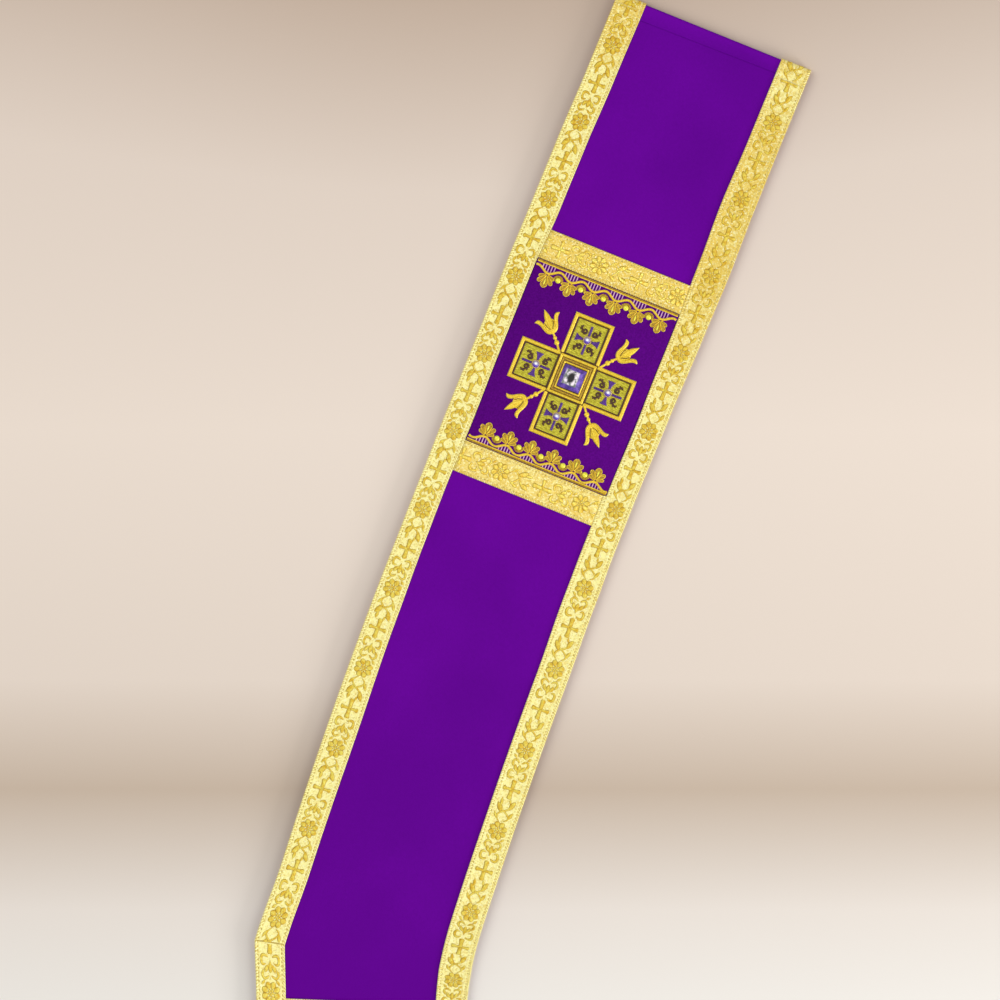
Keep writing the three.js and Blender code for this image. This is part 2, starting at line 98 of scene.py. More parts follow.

# Galloons across the front, as (along, real width, tilt, pattern, painted shade of the ground,
# painted sheen of the figures), with a pattern as (first cross, repeat, way)
CROSS_GALLOONS = {
    "cross_galloon_upper": (163.3, 20.3, SHOULDER_TILT, (-40.25, 56.25, 1), 1.0, 0.7),
    "cross_galloon_lower": (314.1, 21.7, SHOULDER_TILT, (-49.8, 57.5, 1), 0.7, 0.5),
    "cross_galloon_hip": (687.5, 21.7, math.radians(2.4), (-22.0, 56.0, 1), 0.1, 0.5),
}
PANEL_TOP, PANEL_BOTTOM = 183.9, 313.8
PANEL_MIDDLE = (PANEL_TOP + PANEL_BOTTOM) / 2
CROSS_MIDDLE = (-1.3, -1.2)

# Distances from the middle line to the galloons' edges, as the hand-guided sewing left them
EDGE_ALONG = np.array(
    [0, 56, 104, 150, 192, 250, 305, 345, 385, 440, 524, 615, 652, 690, BAND_LENGTH], float
)
EDGES = {
    "left_outer": (68.8, 69, 69.9, 70.1, 70.5, 70.4, 70.4, 70, 69.9, 70.2, 70.2, 70.1, 71.6, 70.3, 70),
    "left_inner": (48.5, 49.3, 50.4, 50.6, 52.5, 52.4, 51.7, 51.9, 51.5, 50.8, 49.7, 50.2, 51.5, 50.7, 50.4),
    "right_inner": (48.4, 48.1, 47.1, 48.3, 49.3, 48.3, 47.1, 47.4, 47.8, 49, 49, 48.7, 48.6, 48.5, 48.6),
    "right_outer": (69.6, 69.3, 69.4, 70.2, 69.6, 68.6, 68.1, 68.3, 69.2, 70.1, 70.1, 70, 69.6, 69.1, 69.7),
}
# The panel's ground laps over the right galloon by this much at its lower corner, so the inner
# edge that shows lies this much further out there
PANEL_PUSH, PUSH_RISE = 2.1, 20

# Soft waves where the front half doesn't lie quite flat, as
# (along, across, length, breadth, height, turn in degrees)
WAVES = (
    (78, -20, 60, 75, 0.7, 12),
    (118, 38, 48, 60, 0.5, -20),
    (428, 30, 95, 70, 1.0, 24),
    (462, -58, 62, 50, 0.6, 0),
    (560, -12, 120, 85, 0.9, -18),
    (622, 52, 55, 60, 0.7, 10),
    (800, -30, 110, 85, 1.1, 15),
    (905, 34, 120, 80, 0.9, -22),
    (1040, -14, 140, 90, 1.2, 9),
    (1170, 40, 105, 75, 0.8, 20),
    (1245, -42, 70, 60, 0.7, -8),
)
# Stretches without waves, and those without creases, with what each eases over
HELD_FLAT, FLAT_EASE = ((-20, 22), (158, 342), (676, 722), (1296, 1340)), 34
UNCREASED, CREASE_EASE = ((-20, 20), (155, 345), (680, 716), (1300, 1340)), 16

# Creases in the cloth between the galloons, as
# (along, across, length, breadth, height, turn in degrees), on the front and on the back
FRONT_CREASES = (
    (44, 6, 30, 9, 0.14, 70),
    (95, 30, 42, 10, 0.2, 24),
    (132, -24, 44, 9, 0.18, -12),
    (372, -18, 34, 12, 0.16, 50),
    (398, 12, 66, 11, 0.22, 18),
    (470, -30, 74, 12, 0.24, -14),
    (532, 26, 78, 11, 0.22, 22),
    (596, -8, 64, 12, 0.24, -30),
    (650, 18, 36, 13, 0.3, 58),
    (760, -14, 80, 13, 0.3, 16),
    (862, 22, 90, 12, 0.3, -20),
    (955, -26, 84, 13, 0.32, 12),
    (1092, 16, 92, 12, 0.3, -14),
    (1204, -12, 80, 13, 0.3, 20),
)
BACK_CREASES = (
    (70, -10, 46, 10, 0.18, 20),
    (210, 22, 80, 12, 0.22, -16),
    (330, -24, 86, 12, 0.24, 14),
    (480, 14, 90, 12, 0.24, -20),
    (590, -12, 70, 12, 0.24, 30),
    (655, 20, 36, 13, 0.28, 60),
    (800, -20, 90, 13, 0.26, -14),
    (940, 18, 90, 13, 0.28, 18),
    (1090, -10, 96, 13, 0.26, -12),
    (1220, 20, 70, 12, 0.24, 16),
)


def smoothstep(value, low, high):
    """Eases from 0 to 1 while a value goes from low to high."""
    share = np.clip((value - low) / (high - low), 0, 1)
    return share * share * (3 - 2 * share)


def soft_bump(value):
    """A smooth hump, 1 in its middle and 0 from -1 and 1 on."""
    return np.where(np.abs(value) < 1, (1 + np.cos(np.pi * np.clip(value, -1, 1))) / 2, 0)


def middle_line(along):
    """The middle line's place and tilt at distances along it."""
    along = np.asarray(along, float)
    x, y, start = np.zeros_like(along), np.zeros_like(along), 0.0
    tilt = np.full_like(along, SHOULDER_TILT)
    for length, first, last in STRETCHES:
        run = np.clip(along - start, 0, length)
        turning = (last - first) / length
        here = first + turning * run
        if abs(turning) < 1e-9:
            x, y = x - math.sin(first) * run, y - math.cos(first) * run
        else:
            x = x + (np.cos(here) - math.cos(first)) / turning
            y = y - (np.sin(here) - math.sin(first)) / turning
        tilt = np.where(along > start, here, tilt)
        start += length
    return x, y, tilt


def plan(along, across):
    """The places on the floor plan under places on the band."""
    along, across = np.broadcast_arrays(np.asarray(along, float), np.asarray(across, float))
    x, y, tilt = middle_line(along)
    fade = np.minimum(1, (BAND_WIDTH / 2 - across) / (BAND_WIDTH / 2 + MITRE_INNER))
    stretch = 1 / np.cos(np.minimum(tilt, HIP_TILT - tilt)) - 1
    radius = HIP_MIDDLE_RADIUS - across
    mitred = HIP_MIDDLE_RADIUS - radius * (1 + stretch * fade)
    at_hip = (along > HIP_BEND_START) & (along < HIP_BEND_END)
    reach = np.where(at_hip, mitred, across)
    return x + np.cos(tilt) * reach, y - np.sin(tilt) * reach


def edge(name, along):
    """A galloon edge's distance from the middle line, at distances along it."""
    along = np.asarray(along, float)
    after = np.clip(np.searchsorted(EDGE_ALONG, along), 1, len(EDGE_ALONG) - 1)
    share = smoothstep(along, EDGE_ALONG[after - 1], EDGE_ALONG[after])
    row = np.array(EDGES[name])
    return row[after - 1] + (row[after] - row[after - 1]) * share


def panel_push(along, fall=GAP):
    """How far the panel pushes the right galloon's inner edge aside."""
    beside = smoothstep(along, PANEL_TOP, PANEL_BOTTOM - PUSH_RISE)
    return PANEL_PUSH * beside * (1 - np.clip((along - PANEL_BOTTOM) / fall, 0, 1))


def sum_of_bumps(bumps, along, across):
    """The height of all the waves or creases of a table at places on the band."""
    total = 0
    for at, aside, length, breadth, height, degrees in bumps:
        turn = math.radians(degrees)
        ahead, side = along - at, across - aside
        u = (ahead * math.cos(turn) + side * math.sin(turn)) / length
        v = (side * math.cos(turn) - ahead * math.sin(turn)) / breadth
        total = total + height * soft_bump(u) * soft_bump(v)
    return total


def free_of(stretches, along, ease):
    """0 on the given stretches of the band, easing to 1 beyond them."""
    free = 1
    for low, high in stretches:
        away = np.maximum(0, np.maximum(low - along, along - high))
        free = np.minimum(free, smoothstep(away, 0, ease))
    return free


def lift(along, across):
    """How far the front half stands off the back half."""
    return free_of(HELD_FLAT, along, FLAT_EASE) * sum_of_bumps(WAVES, along, across)


def on_wall(along, angle, across, radius):
    """Places on a wall, from how far round the fold they are and their distance from its axis."""
    along, angle, across, radius = np.broadcast_arrays(along, angle, across, radius)
    x, y = plan(along - radius * np.sin(angle), across)
    height = AXIS + radius * np.cos(angle) + np.where(angle == 0, lift(along, across), 0)
    return np.stack([x, y, height], -1)


# The band's plan is laid into the frame by its centre stone
STONE_LOW, STONE_HIGH = (np.array(corner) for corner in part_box("centre_stone"))
STONE_PLAN = plan(PANEL_MIDDLE - CROSS_MIDDLE[1], CROSS_MIDDLE[0])
SHIFT = (STONE_LOW + STONE_HIGH) / 2 / MM - np.array([*STONE_PLAN, 0])
SHIFT[2] = 0
PANEL_PLAN = np.array([*plan(PANEL_MIDDLE, 0), AXIS + TRIM_INNER])

# What the camera sees of the floor, in metres
VIEW_MIDDLE = (np.array([-142.5, -311.9]) + SHIFT[:2]) * MM
VIEW_WIDTH = 0.6641
CAMERA_HEIGHT, SENSOR_WIDTH = 3.2, 36
FRONT_LEVEL, FLOOR_LEVEL = 0.0055, -0.0002


def to_frame(points):
    """Places in the band's plan to the frame's metres."""
    return (np.asarray(points) + SHIFT) * MM


def from_frame(patch):
    """A patch given in the frame's millimetres, ready for make_piece."""
    return patch.moved(lambda points: points - SHIFT)


def on_panel(points):
    """Panel places (across, up, height above its back) to places in the band's plan."""
    points = np.asarray(points, float)
    cos, sin = math.cos(SHOULDER_TILT), math.sin(SHOULDER_TILT)
    x, y = points[..., 0], points[..., 1]
    turned = np.stack([x * cos + y * sin, y * cos - x * sin, points[..., 2]], -1)
    return turned + PANEL_PLAN


# Meshes in the making


class Patch:
    """Points, faces and named point values of a closed shape in the making."""

    def __init__(self, points, faces, finish=0, **values):
        self.points = np.asarray(points, float).reshape(-1, 3)
        self.faces = faces
        self.finishes = [finish] * len(faces) if isinstance(finish, int) else finish
        self.values = {k: np.broadcast_to(v, len(self.points)).astype(float) for k, v in values.items()}

    def moved(self, mapping):
        """The same shape with its points put through a mapping."""
        return Patch(mapping(self.points), self.faces, self.finishes, **self.values)


def signed_volume(points, faces):
    """Above zero where a closed shape's faces point outwards."""
    total = 0.0
    points = points - points.mean(0)
    for size in {len(face) for face in faces}:
        index = np.array([face for face in faces if len(face) == size])
        for k in range(1, size - 1):
            a, b, c = points[index[:, 0]], points[index[:, k]], points[index[:, k + 1]]
            total += float((a * np.cross(b, c)).sum())
    return total


def join(patches):
    """One patch of many closed shapes, each with its faces outward."""
    points, faces, finishes, start = [], [], [], 0
    names = sorted({name for patch in patches for name in patch.values})
    values = {name: [] for name in names}
    for patch in patches:
        points.append(patch.points)
        way = 1 if signed_volume(patch.points, patch.faces) > 0 else -1
        faces += [tuple(i + start for i in face[::way]) for face in patch.faces]
        finishes += patch.finishes
        for name in names:
            values[name].append(patch.values.get(name, np.zeros(len(patch.points))))
        start += len(patch.points)
    made = Patch(np.concatenate(points), faces, finishes)
    made.values = {name: np.concatenate(parts) for name, parts in values.items()}
    return made


def swept(grid, finish=0, **values):
    """A closed tube of quads through a grid of stations and section points."""
    stations, count = grid.shape[:2]
    rows = np.arange(stations - 1)[:, None]
    ahead = rows + 1
    p = np.arange(count)[None, :]
    q = (p + 1) % count
    quads = np.stack([rows * count + p, rows * count + q, ahead * count + q, ahead * count + p], -1)
    faces = [tuple(quad) for quad in quads.reshape(-1, 4).tolist()]
    last = (stations - 1) * count
    faces.append(tuple(range(count - 1, -1, -1)))
    faces.append(tuple(range(last, last + count)))
    flat = {k: np.broadcast_to(v, (stations, count)).reshape(-1) for k, v in values.items()}
    return Patch(grid.reshape(-1, 3), faces, finish, **flat)


def make_piece(name, patches, finishes, replaces=()):
    """Makes one object of closed patches, riding on the stole's one body."""
    whole = join(patches)
    faces = whole.faces
    mesh = bpy.data.meshes.new(name)
    mesh.from_pydata(to_frame(whole.points).tolist(), [], faces)
    for name_of_finish in finishes:
        mesh.materials.append(finish(name_of_finish))
    mesh.polygons.foreach_set("material_index", whole.finishes)
    mesh.polygons.foreach_set("use_smooth", [True] * len(faces))
    values = whole.values
    if "u" in values:
        layer = mesh.uv_layers.new(name="cloth")
        corner = gathered(mesh.loops, "vertex_index", int)
        flat = np.stack([values["u"], values["v"]], -1) * MM
        layer.data.foreach_set("uv", flat[corner].reshape(-1))
    for key, value in values.items():
        if key not in ("u", "v"):
            mesh.attributes.new(key, "FLOAT", "POINT").data.foreach_set("value", value)
    mesh.validate()
    piece = bpy.data.objects.new(name, mesh)
    bpy.context.scene.collection.objects.link(piece)
    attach(piece, "root")
    if replaces:
        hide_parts(*replaces)
    return piece


# Repeated shapes, made flat by Geometry Nodes and bent onto the stole afterwards


class Tree:
    """A Geometry Nodes tree that copies a shape, in the making."""

    def __init__(self, name, **inputs):
        self.tree = bpy.data.node_groups.new(name, "GeometryNodeTree")
        kinds = {"Geometry": "Geometry", "Shape": "Object", **inputs, "Seed": "Int", "Thread": "Material"}
        for label, kind in kinds.items():
            self.tree.interface.new_socket(name=label, in_out="INPUT", socket_type=f"NodeSocket{kind}")
        self.tree.interface.new_socket(name="Shapes", in_out="OUTPUT", socket_type="NodeSocketGeometry")
        self.inputs = self.tree.nodes.new("NodeGroupInput").outputs

    def node(self, kind, settings=None, values=None):
        """Adds a node and gives its outputs."""
        made = self.tree.nodes.new(kind)
        for key, value in (settings or {}).items():
            setattr(made, key, value)
        for key, value in (values or {}).items():
            socket = made.inputs[key]
            if isinstance(value, bpy.types.NodeSocket):
                self.tree.links.new(value, socket)
            else:
                socket.default_value = value
        return made.outputs

    def sewn(self, points, **turns):
        """Ends the tree: a copy on each point, with a random shade from 0 to 1, as plain geometry
        with its finish."""
        given = self.inputs
        shape = self.node("GeometryNodeObjectInfo", None, {"Object": given["Shape"]})["Geometry"]
        values = {"Points": points, "Instance": shape, **turns}
        copies = self.node("GeometryNodeInstanceOnPoints", None, values)[0]
        chance = self.node("FunctionNodeRandomValue", {"data_type": "FLOAT"}, {"Seed": given["Seed"]})
        number = next(socket for socket in chance if socket.enabled and not socket.is_unavailable)
        values = {"Geometry": copies, "Name": "shade", "Value": number}
        settings = {"data_type": "FLOAT", "domain": "INSTANCE"}
        shaded = self.node("GeometryNodeStoreNamedAttribute", settings, values)[0]
        real = self.node("GeometryNodeRealizeInstances", None, {"Geometry": shaded})[0]
        values = {"Geometry": real, "Material": given["Thread"]}
        made = self.node("GeometryNodeSetMaterial", None, values)[0]
        end = self.tree.nodes.new("NodeGroupOutput")
        self.tree.links.new(made, end.inputs[0])
        return self.tree


@functools.cache
def row_tree():
    """Copies of a shape in one straight row along Y."""
    tree = Tree("row_of_shapes", First="Float", Pitch="Float", Count="Int")
    given = tree.inputs
    start = tree.node("ShaderNodeCombineXYZ", None, {"Y": given["First"]})[0]
    step = tree.node("ShaderNodeCombineXYZ", None, {"Y": given["Pitch"]})[0]
    line = {"Count": given["Count"], "Start Location": start, "Offset": step}
    return tree.sewn(tree.node("GeometryNodeMeshLine", {"mode": "OFFSET"}, line)[0])


@functools.cache
def scatter_tree():
    """Copies of a shape on the points of a mesh, each turned by its point's own value."""
    tree = Tree("scattered_shapes")
    value = tree.node("GeometryNodeInputNamedAttribute", {"data_type": "FLOAT"}, {"Name": "turn"})[0]
    turn = tree.node("ShaderNodeCombineXYZ", None, {"Z": value})[0]
    return tree.sewn(tree.inputs["Geometry"], Rotation=turn)


def repeated(make_tree, shape, points=((0, 0, 0),), turns=None, finish_index=0, **inputs):
    """Runs a tree on a shape and gives the plain result as a patch in millimetres."""
    tree = make_tree()
    carrier_mesh = bpy.data.meshes.new("carrier")
    carrier_mesh.from_pydata(np.asarray(points, float).tolist(), [], [])
    if turns is not None:
        layer = carrier_mesh.attributes.new("turn", "FLOAT", "POINT")
        layer.data.foreach_set("value", np.asarray(turns, float))
    shape_mesh = bpy.data.meshes.new("shape")
    shape_mesh.from_pydata(shape.points.tolist(), [], shape.faces)
    carrier = bpy.data.objects.new("carrier", carrier_mesh)
    copied = bpy.data.objects.new("shape", shape_mesh)
    for made in (carrier, copied):
        bpy.context.scene.collection.objects.link(made)
    modifier = carrier.modifiers.new("repeat", "NODES")
    modifier.node_group = tree
    identifiers = {s.name: s.identifier for s in tree.interface.items_tree if s.in_out == "INPUT"}
    for label, value in {"Shape": copied, **inputs}.items():
        modifier[identifiers[label]] = value
    graph = bpy.context.evaluated_depsgraph_get()
    result = bpy.data.meshes.new_from_object(carrier.evaluated_get(graph), depsgraph=graph)
    patch = patch_of(result, finish_index)
    for made in (carrier, copied):
        bpy.data.objects.remove(made)
    for mesh in (carrier_mesh, shape_mesh, result):
        bpy.data.meshes.remove(mesh)
    return patch


def gathered(items, key, kind=float, each=1):
    """All the values of one kind that a mesh keeps, in one array."""
    values = np.empty(len(items) * each, kind)
    items.foreach_get(key, values)
    return values


def patch_of(mesh, finish_index=0):
    """A mesh as a patch, with the shade of each copy where it has one."""
    corners = gathered(mesh.loops, "vertex_index", int).tolist()
    starts = gathered(mesh.polygons, "loop_start", int).tolist()
    sizes = gathered(mesh.polygons, "loop_total", int).tolist()
    faces = [tuple(corners[a:a + n]) for a, n in zip(starts, sizes)]
    values = {}
    if "shade" in mesh.attributes:
        values["shade"] = gathered(mesh.attributes["shade"].data, "value")
    return Patch(gathered(mesh.vertices, "co", each=3), faces, finish_index, **values)


def clipped(patch, low, high):
    """Cuts a flat patch at two distances along it and closes the cuts."""
    mesh = bpy.data.meshes.new("clipped")
    mesh.from_pydata(patch.points.tolist(), [], patch.faces)
    work = bmesh.new()
    work.from_mesh(mesh)
    for level, way in ((low, -1), (high, 1)):
        everything = work.verts[:] + work.edges[:] + work.faces[:]
        cut = bmesh.ops.bisect_plane(
            work, geom=everything, plane_co=(0, level, 0), plane_no=(0, way, 0), clear_outer=True
        )
        edges = [part for part in cut["geom_cut"] if isinstance(part, bmesh.types.BMEdge)]
        bmesh.ops.edgenet_fill(work, edges=edges)
    bmesh.ops.recalc_face_normals(work, faces=work.faces[:])
    work.to_mesh(mesh)
    work.free()
    made = patch_of(mesh, patch.finishes[0])
    bpy.data.meshes.remove(mesh)
    return made


# Finishes


def to_linear(colour):
    """A colour from 0 to 255 as the shader's linear numbers."""
    shares = [value / 255 for value in colour]
    linear = [s / 12.92 if s <= 0.04045 else ((s + 0.055) / 1.055) ** 2.4 for s in shares]
    return (*linear, 1.0)


class Number:
    """A number socket that can be used in plain sums."""

    def __init__(self, finish, socket):
        self.finish = finish
        self.socket = socket

    def math(self, operation, *others):
        """One step of a sum, with this number first."""
        values = {i: other for i, other in enumerate((self, *others))}
        return self.finish.number("ShaderNodeMath", {"operation": operation}, values)

    def __add__(self, other):
        return self.math("ADD", other)

    def __sub__(self, other):
        return self.math("SUBTRACT", other)

    def __rsub__(self, other):
        return self.finish.number("ShaderNodeMath", {"operation": "SUBTRACT"}, {0: other, 1: self})

    def __mul__(self, other):
        return self.math("MULTIPLY", other)

    def __truediv__(self, other):
        return self.math("DIVIDE", other)

    __radd__, __rmul__ = __add__, __mul__

    def wave(self, length):
        """A sine that repeats over a length."""
        return (self * (2 * math.pi / length)).math("SINE")

    def size(self):
        """The number without its sign."""
        return self.math("ABSOLUTE")

    def larger(self, other):
        """The larger of two numbers."""
        return self.math("MAXIMUM", other)

    def to_share(self, low, high, first=0.0, last=1.0):
        """Eases from first to last while the number goes from low to high."""
        values = {"Value": self, "From Min": low, "From Max": high, "To Min": first, "To Max": last}
        return self.finish.number("ShaderNodeMapRange", {"interpolation_type": "SMOOTHSTEP"}, values)


class Finish:
    """A node-based finish round the main shader of a new material."""

    def __init__(self, name, roughness, metallic=0.0, settings=None):
        self.material = bpy.data.materials.new(name)
        self.material.use_nodes = True
        self.tree = self.material.node_tree
        self.shader = self.tree.nodes["Principled BSDF"]
        for key, value in {"Roughness": roughness, "Metallic": metallic, **(settings or {})}.items():
            self.shader.inputs[key].default_value = value

    def node(self, kind, settings=None, values=None):
        """Adds a node, with a colour ramp's stops as (place, colour)."""
        made = self.tree.nodes.new(kind)
        for key, value in (settings or {}).items():
            if key == "stops":
                ramp = made.color_ramp.elements
                while len(ramp) < len(value):
                    ramp.new(0.5)
                for element, (position, colour) in zip(ramp, value):
                    element.position, element.color = position, to_linear(colour)
            else:
                setattr(made, key, value)
        for key, value in (values or {}).items():
            socket = made.inputs[key] if isinstance(key, int) else self.named(made.inputs, key)
            if isinstance(value, Number):
                value = value.socket
            if isinstance(value, bpy.types.NodeSocket):
                self.tree.links.new(value, socket)
            else:
                socket.default_value = value
        return made

    @staticmethod
    def named(sockets, key):
        """The socket of an identifier or a name."""
        for socket in sockets:
            if socket.identifier == key or socket.name == key and not socket.is_unavailable:
                return socket
        raise KeyError(key)

    def number(self, kind, settings=None, values=None):
        """Adds a node and gives its first output as a number."""
        return Number(self, self.node(kind, settings, values).outputs[0])

    def attribute(self, name):
        """A value that the piece's mesh keeps for each point."""
        made = self.node("ShaderNodeAttribute", {"attribute_name": name})
        return Number(self, self.named(made.outputs, "Fac"))

    def cloth_place(self):
        """The two cloth coordinates, across and along, in millimetres."""
        uv = self.node("ShaderNodeUVMap", {"uv_map": "cloth"})
        parts = self.node("ShaderNodeSeparateXYZ", None, {"Vector": uv.outputs["UV"]})
        return [Number(self, parts.outputs[i]) * 1000 for i in range(2)]

    def place(self, scale=1000.0):
        """The object's own coordinates, by default in millimetres."""
        spot = self.node("ShaderNodeTexCoord").outputs["Object"]
        scaled = self.node("ShaderNodeVectorMath", {"operation": "SCALE"}, {"Vector": spot, "Scale": scale})
        return scaled.outputs["Vector"]

    def noise(self, vector, scale, detail=2.0, roughness=0.5):
        """A soft random number from 0 to 1."""
        values = {"Vector": vector, "Scale": scale, "Detail": detail, "Roughness": roughness}
        return self.number("ShaderNodeTexNoise", None, values)

    def mixed(self, share, first, second):
        """A colour between two, each a 0 to 255 colour or a socket."""
        sides = [to_linear(c) if isinstance(c, tuple) else c for c in (first, second)]
        values = {"Factor_Float": share, "A_Color": sides[0], "B_Color": sides[1]}
        made = self.node("ShaderNodeMix", {"data_type": "RGBA"}, values)
        return self.named(made.outputs, "Result_Color")

    def colour(self, socket):
        """Sets the colour."""
        self.tree.links.new(socket, self.shader.inputs["Base Color"])

    def bump(self, height, depth_mm):
        """Raises the surface with a height."""
        values = {"Height": height, "Distance": depth_mm * MM, "Strength": 1.0}
        made = self.node("ShaderNodeBump", None, values)
        self.tree.links.new(made.outputs["Normal"], self.shader.inputs["Normal"])


def chosen(name):
    """A colour that the user may change, from 0 to 255."""
    return tuple(255 * c for c in getattr(bpy.context.scene.stole_colours, name))


def cloth_base(name, sheen, tint):
    """The matt base that both cloths share."""
    settings = {"Sheen Weight": sheen, "Sheen Roughness": 0.4, "Sheen Tint": to_linear(tint)}
    return Finish(name, 0.8, settings={**settings, "Specular IOR Level": 0.03})


def purple_cloth_finish():
    """Matt satin-weave cloth with fine threads both ways and a slight unevenness, with painted shade that
    darkens it further down the band and a painted sheen that lightens it below the fold.
    """
    made = cloth_base("purple_cloth", 0.06, (120, 10, 200))
    across, along = made.cloth_place()
    pitch = bpy.context.scene.stole_sizes.weave_pitch * 1000
    warp = across.wave(pitch)
    weft = along.wave(pitch)
    twill = (across + along).wave(2 * pitch)
    slub = made.noise(made.place(), 0.55, 3.0)
    cloud = made.noise(made.place(), 0.012, 2.0)
    # Random tone and the twill, less painted shade that darkens the cloth further down the band
    shade = cloud * 0.9 + slub * 0.35 + twill * 0.06 - along.to_share(330, 700, 0, 0.24)
    # A painted sheen lightens the cloth just below the fold
    shade = shade + made.attribute("fold") * 0.5
    made.colour(made.mixed(shade.to_share(0.35, 0.95), chosen("cloth_dark"), chosen("cloth_light")))
    made.bump(warp * 0.5 + weft * 0.5 + twill * 0.8 + slub * 0.8, 0.03)
    return made


def panel_cloth_finish():
    """The panel's darker ground, a close diagonal twill."""
    made = cloth_base("panel_cloth", 0.1, (100, 10, 170))
    across, along = made.cloth_place()
    twill = (across * 0.9 + along).wave(0.7)
    slub = made.noise(made.place(), 0.9, 3.0)
    made.colour(made.mixed((slub + twill * 0.1).to_share(0.25, 0.75), (78, 4, 112), (93, 7, 131)))
    made.bump(twill + slub, 0.03)
    return made


def gold_weave_finish():
    """The galloon's ground: fine gold weft ribs, with twisted strokes along both selvedges, painted shade,
    painted glints and painted shadow.
    """
    made = Finish("gold_weave", 0.46, 0.15)
    across, along = made.cloth_place()
    inset, tone = made.attribute("inset"), made.attribute("tone")
    rib = along.wave(0.55)
    twill = (across + along * 0.5).wave(1.1)
    stroke = (along + inset * 0.7).wave(1.7)
    on_edge = inset.to_share(1.5, 1.9, 1.0, 0.0)
    grain = made.noise(made.place(), 0.9, 4.0, 0.65)
    blotch = made.noise(made.place(), 0.42, 4.0, 0.6)
    glint = made.noise(made.place(), 0.66, 3.0, 0.6)
    # Painted shade turns the ground tan, mixed with a random mottle
    tan = (tone + blotch * 2.2 - 1.1).to_share(0, 1)
    ground = made.mixed(tan, chosen("galloon_pale"), chosen("galloon_tan"))
    lit = made.mixed(glint.to_share(0.5, 0.66, 0, 0.85), ground, (255, 252, 196))
    on_stroke = on_edge * stroke.to_share(-1, 0.4, 0.5, 0)
    shadow = (on_stroke + grain.to_share(0.34, 0.54, 0.6, 0)).to_share(0, 1)
    made.colour(made.mixed(shadow, lit, (208, 178, 66)))
    made.bump((1 - on_edge) * (rib * 0.3 + twill * 0.25) + on_edge * stroke + grain * 1.2, 0.12)
    return made


def gold_motif_finish():
    """The galloon's woven figures in a deeper gold thread, with a painted sheen that brightens them and
    painted shade that darkens them down to their rims.
    """
    made = Finish("gold_motif", 0.42, 0.15)
    across, along = made.cloth_place()
    glow = made.attribute("glow")
    # Painted shade: the lower the figure's surface, the darker, down to its rims
    rim = made.attribute("height").to_share(MOTIF_BASE, MOTIF_TOP - 0.06, 1, 0)
    thread = (along + across * 0.35).wave(0.6)
    grain = made.noise(made.place(), 0.5, 4.0, 0.65)
    deep = made.mixed(grain.to_share(0.32, 0.66), (226, 172, 16), (254, 228, 80))
    bright = made.mixed(grain.to_share(0.32, 0.66), (248, 204, 40), (255, 246, 124))
    # The glow is a painted sheen that brightens the figures, and their rims get painted shade
    made.colour(made.mixed(rim * 0.85, made.mixed(glow, deep, bright), (172, 126, 18)))
    made.bump(thread + grain * 2, 0.1)
    return made


# Grained threads, as (roughness, metallic, grain, where it is lightest, dark, light, bump)
THREADS = {
    # smooth machine embroidery
    "gold_satin": (0.34, 0.2, 1.1, 0.7, (228, 184, 28), (255, 228, 70), 0.04),
    # the bobbles and the tears in the shells
    "bright_gold": (0.32, 0.15, 1.2, 0.7, (226, 220, 40), (246, 240, 90), 0.04),
    # the sunk rope band, and the rails' shadow side, a painted shadow line beside the galloon
    "rope_gold": (0.45, 0.25, 1.3, 0.7, (140, 104, 20), (204, 168, 44), 0.05),
    "brown_thread": (0.55, 0.0, 1.6, 0.75, (54, 26, 8), (96, 58, 18), 0.05),
    "purple_thread": (0.42, 0.0, 1.6, 0.75, (52, 10, 98), (94, 34, 156), 0.05),
    "comb_thread": (0.4, 0.1, 1.6, 0.75, (190, 140, 182), (234, 200, 218), 0.04),
    # the round stones' beads
    "rose_gold": (0.35, 0.3, 1.5, 0.7, (204, 164, 128), (244, 220, 196), 0),
}
# Threads whose stitches each have their own shade, as (roughness, metallic, dark, light)
STITCHES = {
    # the grooves beside the galloon's selvedges
    "galloon_stitch": (0.5, 0.25, (190, 164, 74), (232, 208, 118)),
    # the fields of the cross's arms
    "field_gold": (0.5, 0.15, (168, 158, 10), (236, 228, 74)),
}


def thread_finish(name):
    """A plain thread with a fine grain."""
    roughness, metallic, scale, lightest, dark, light, depth = THREADS[name]
    made = Finish(name, roughness, metallic)
    grain = made.noise(made.place(), scale)
    made.colour(made.mixed(grain.to_share(0.3, lightest), dark, light))
    if depth:
        made.bump(grain, depth)
    return made


def stitch_finish(name):
    """A thread that is laid stitch by stitch."""
    roughness, metallic, dark, light = STITCHES[name]
    made = Finish(name, roughness, metallic)
    made.colour(made.mixed(made.attribute("shade"), dark, light))
    return made


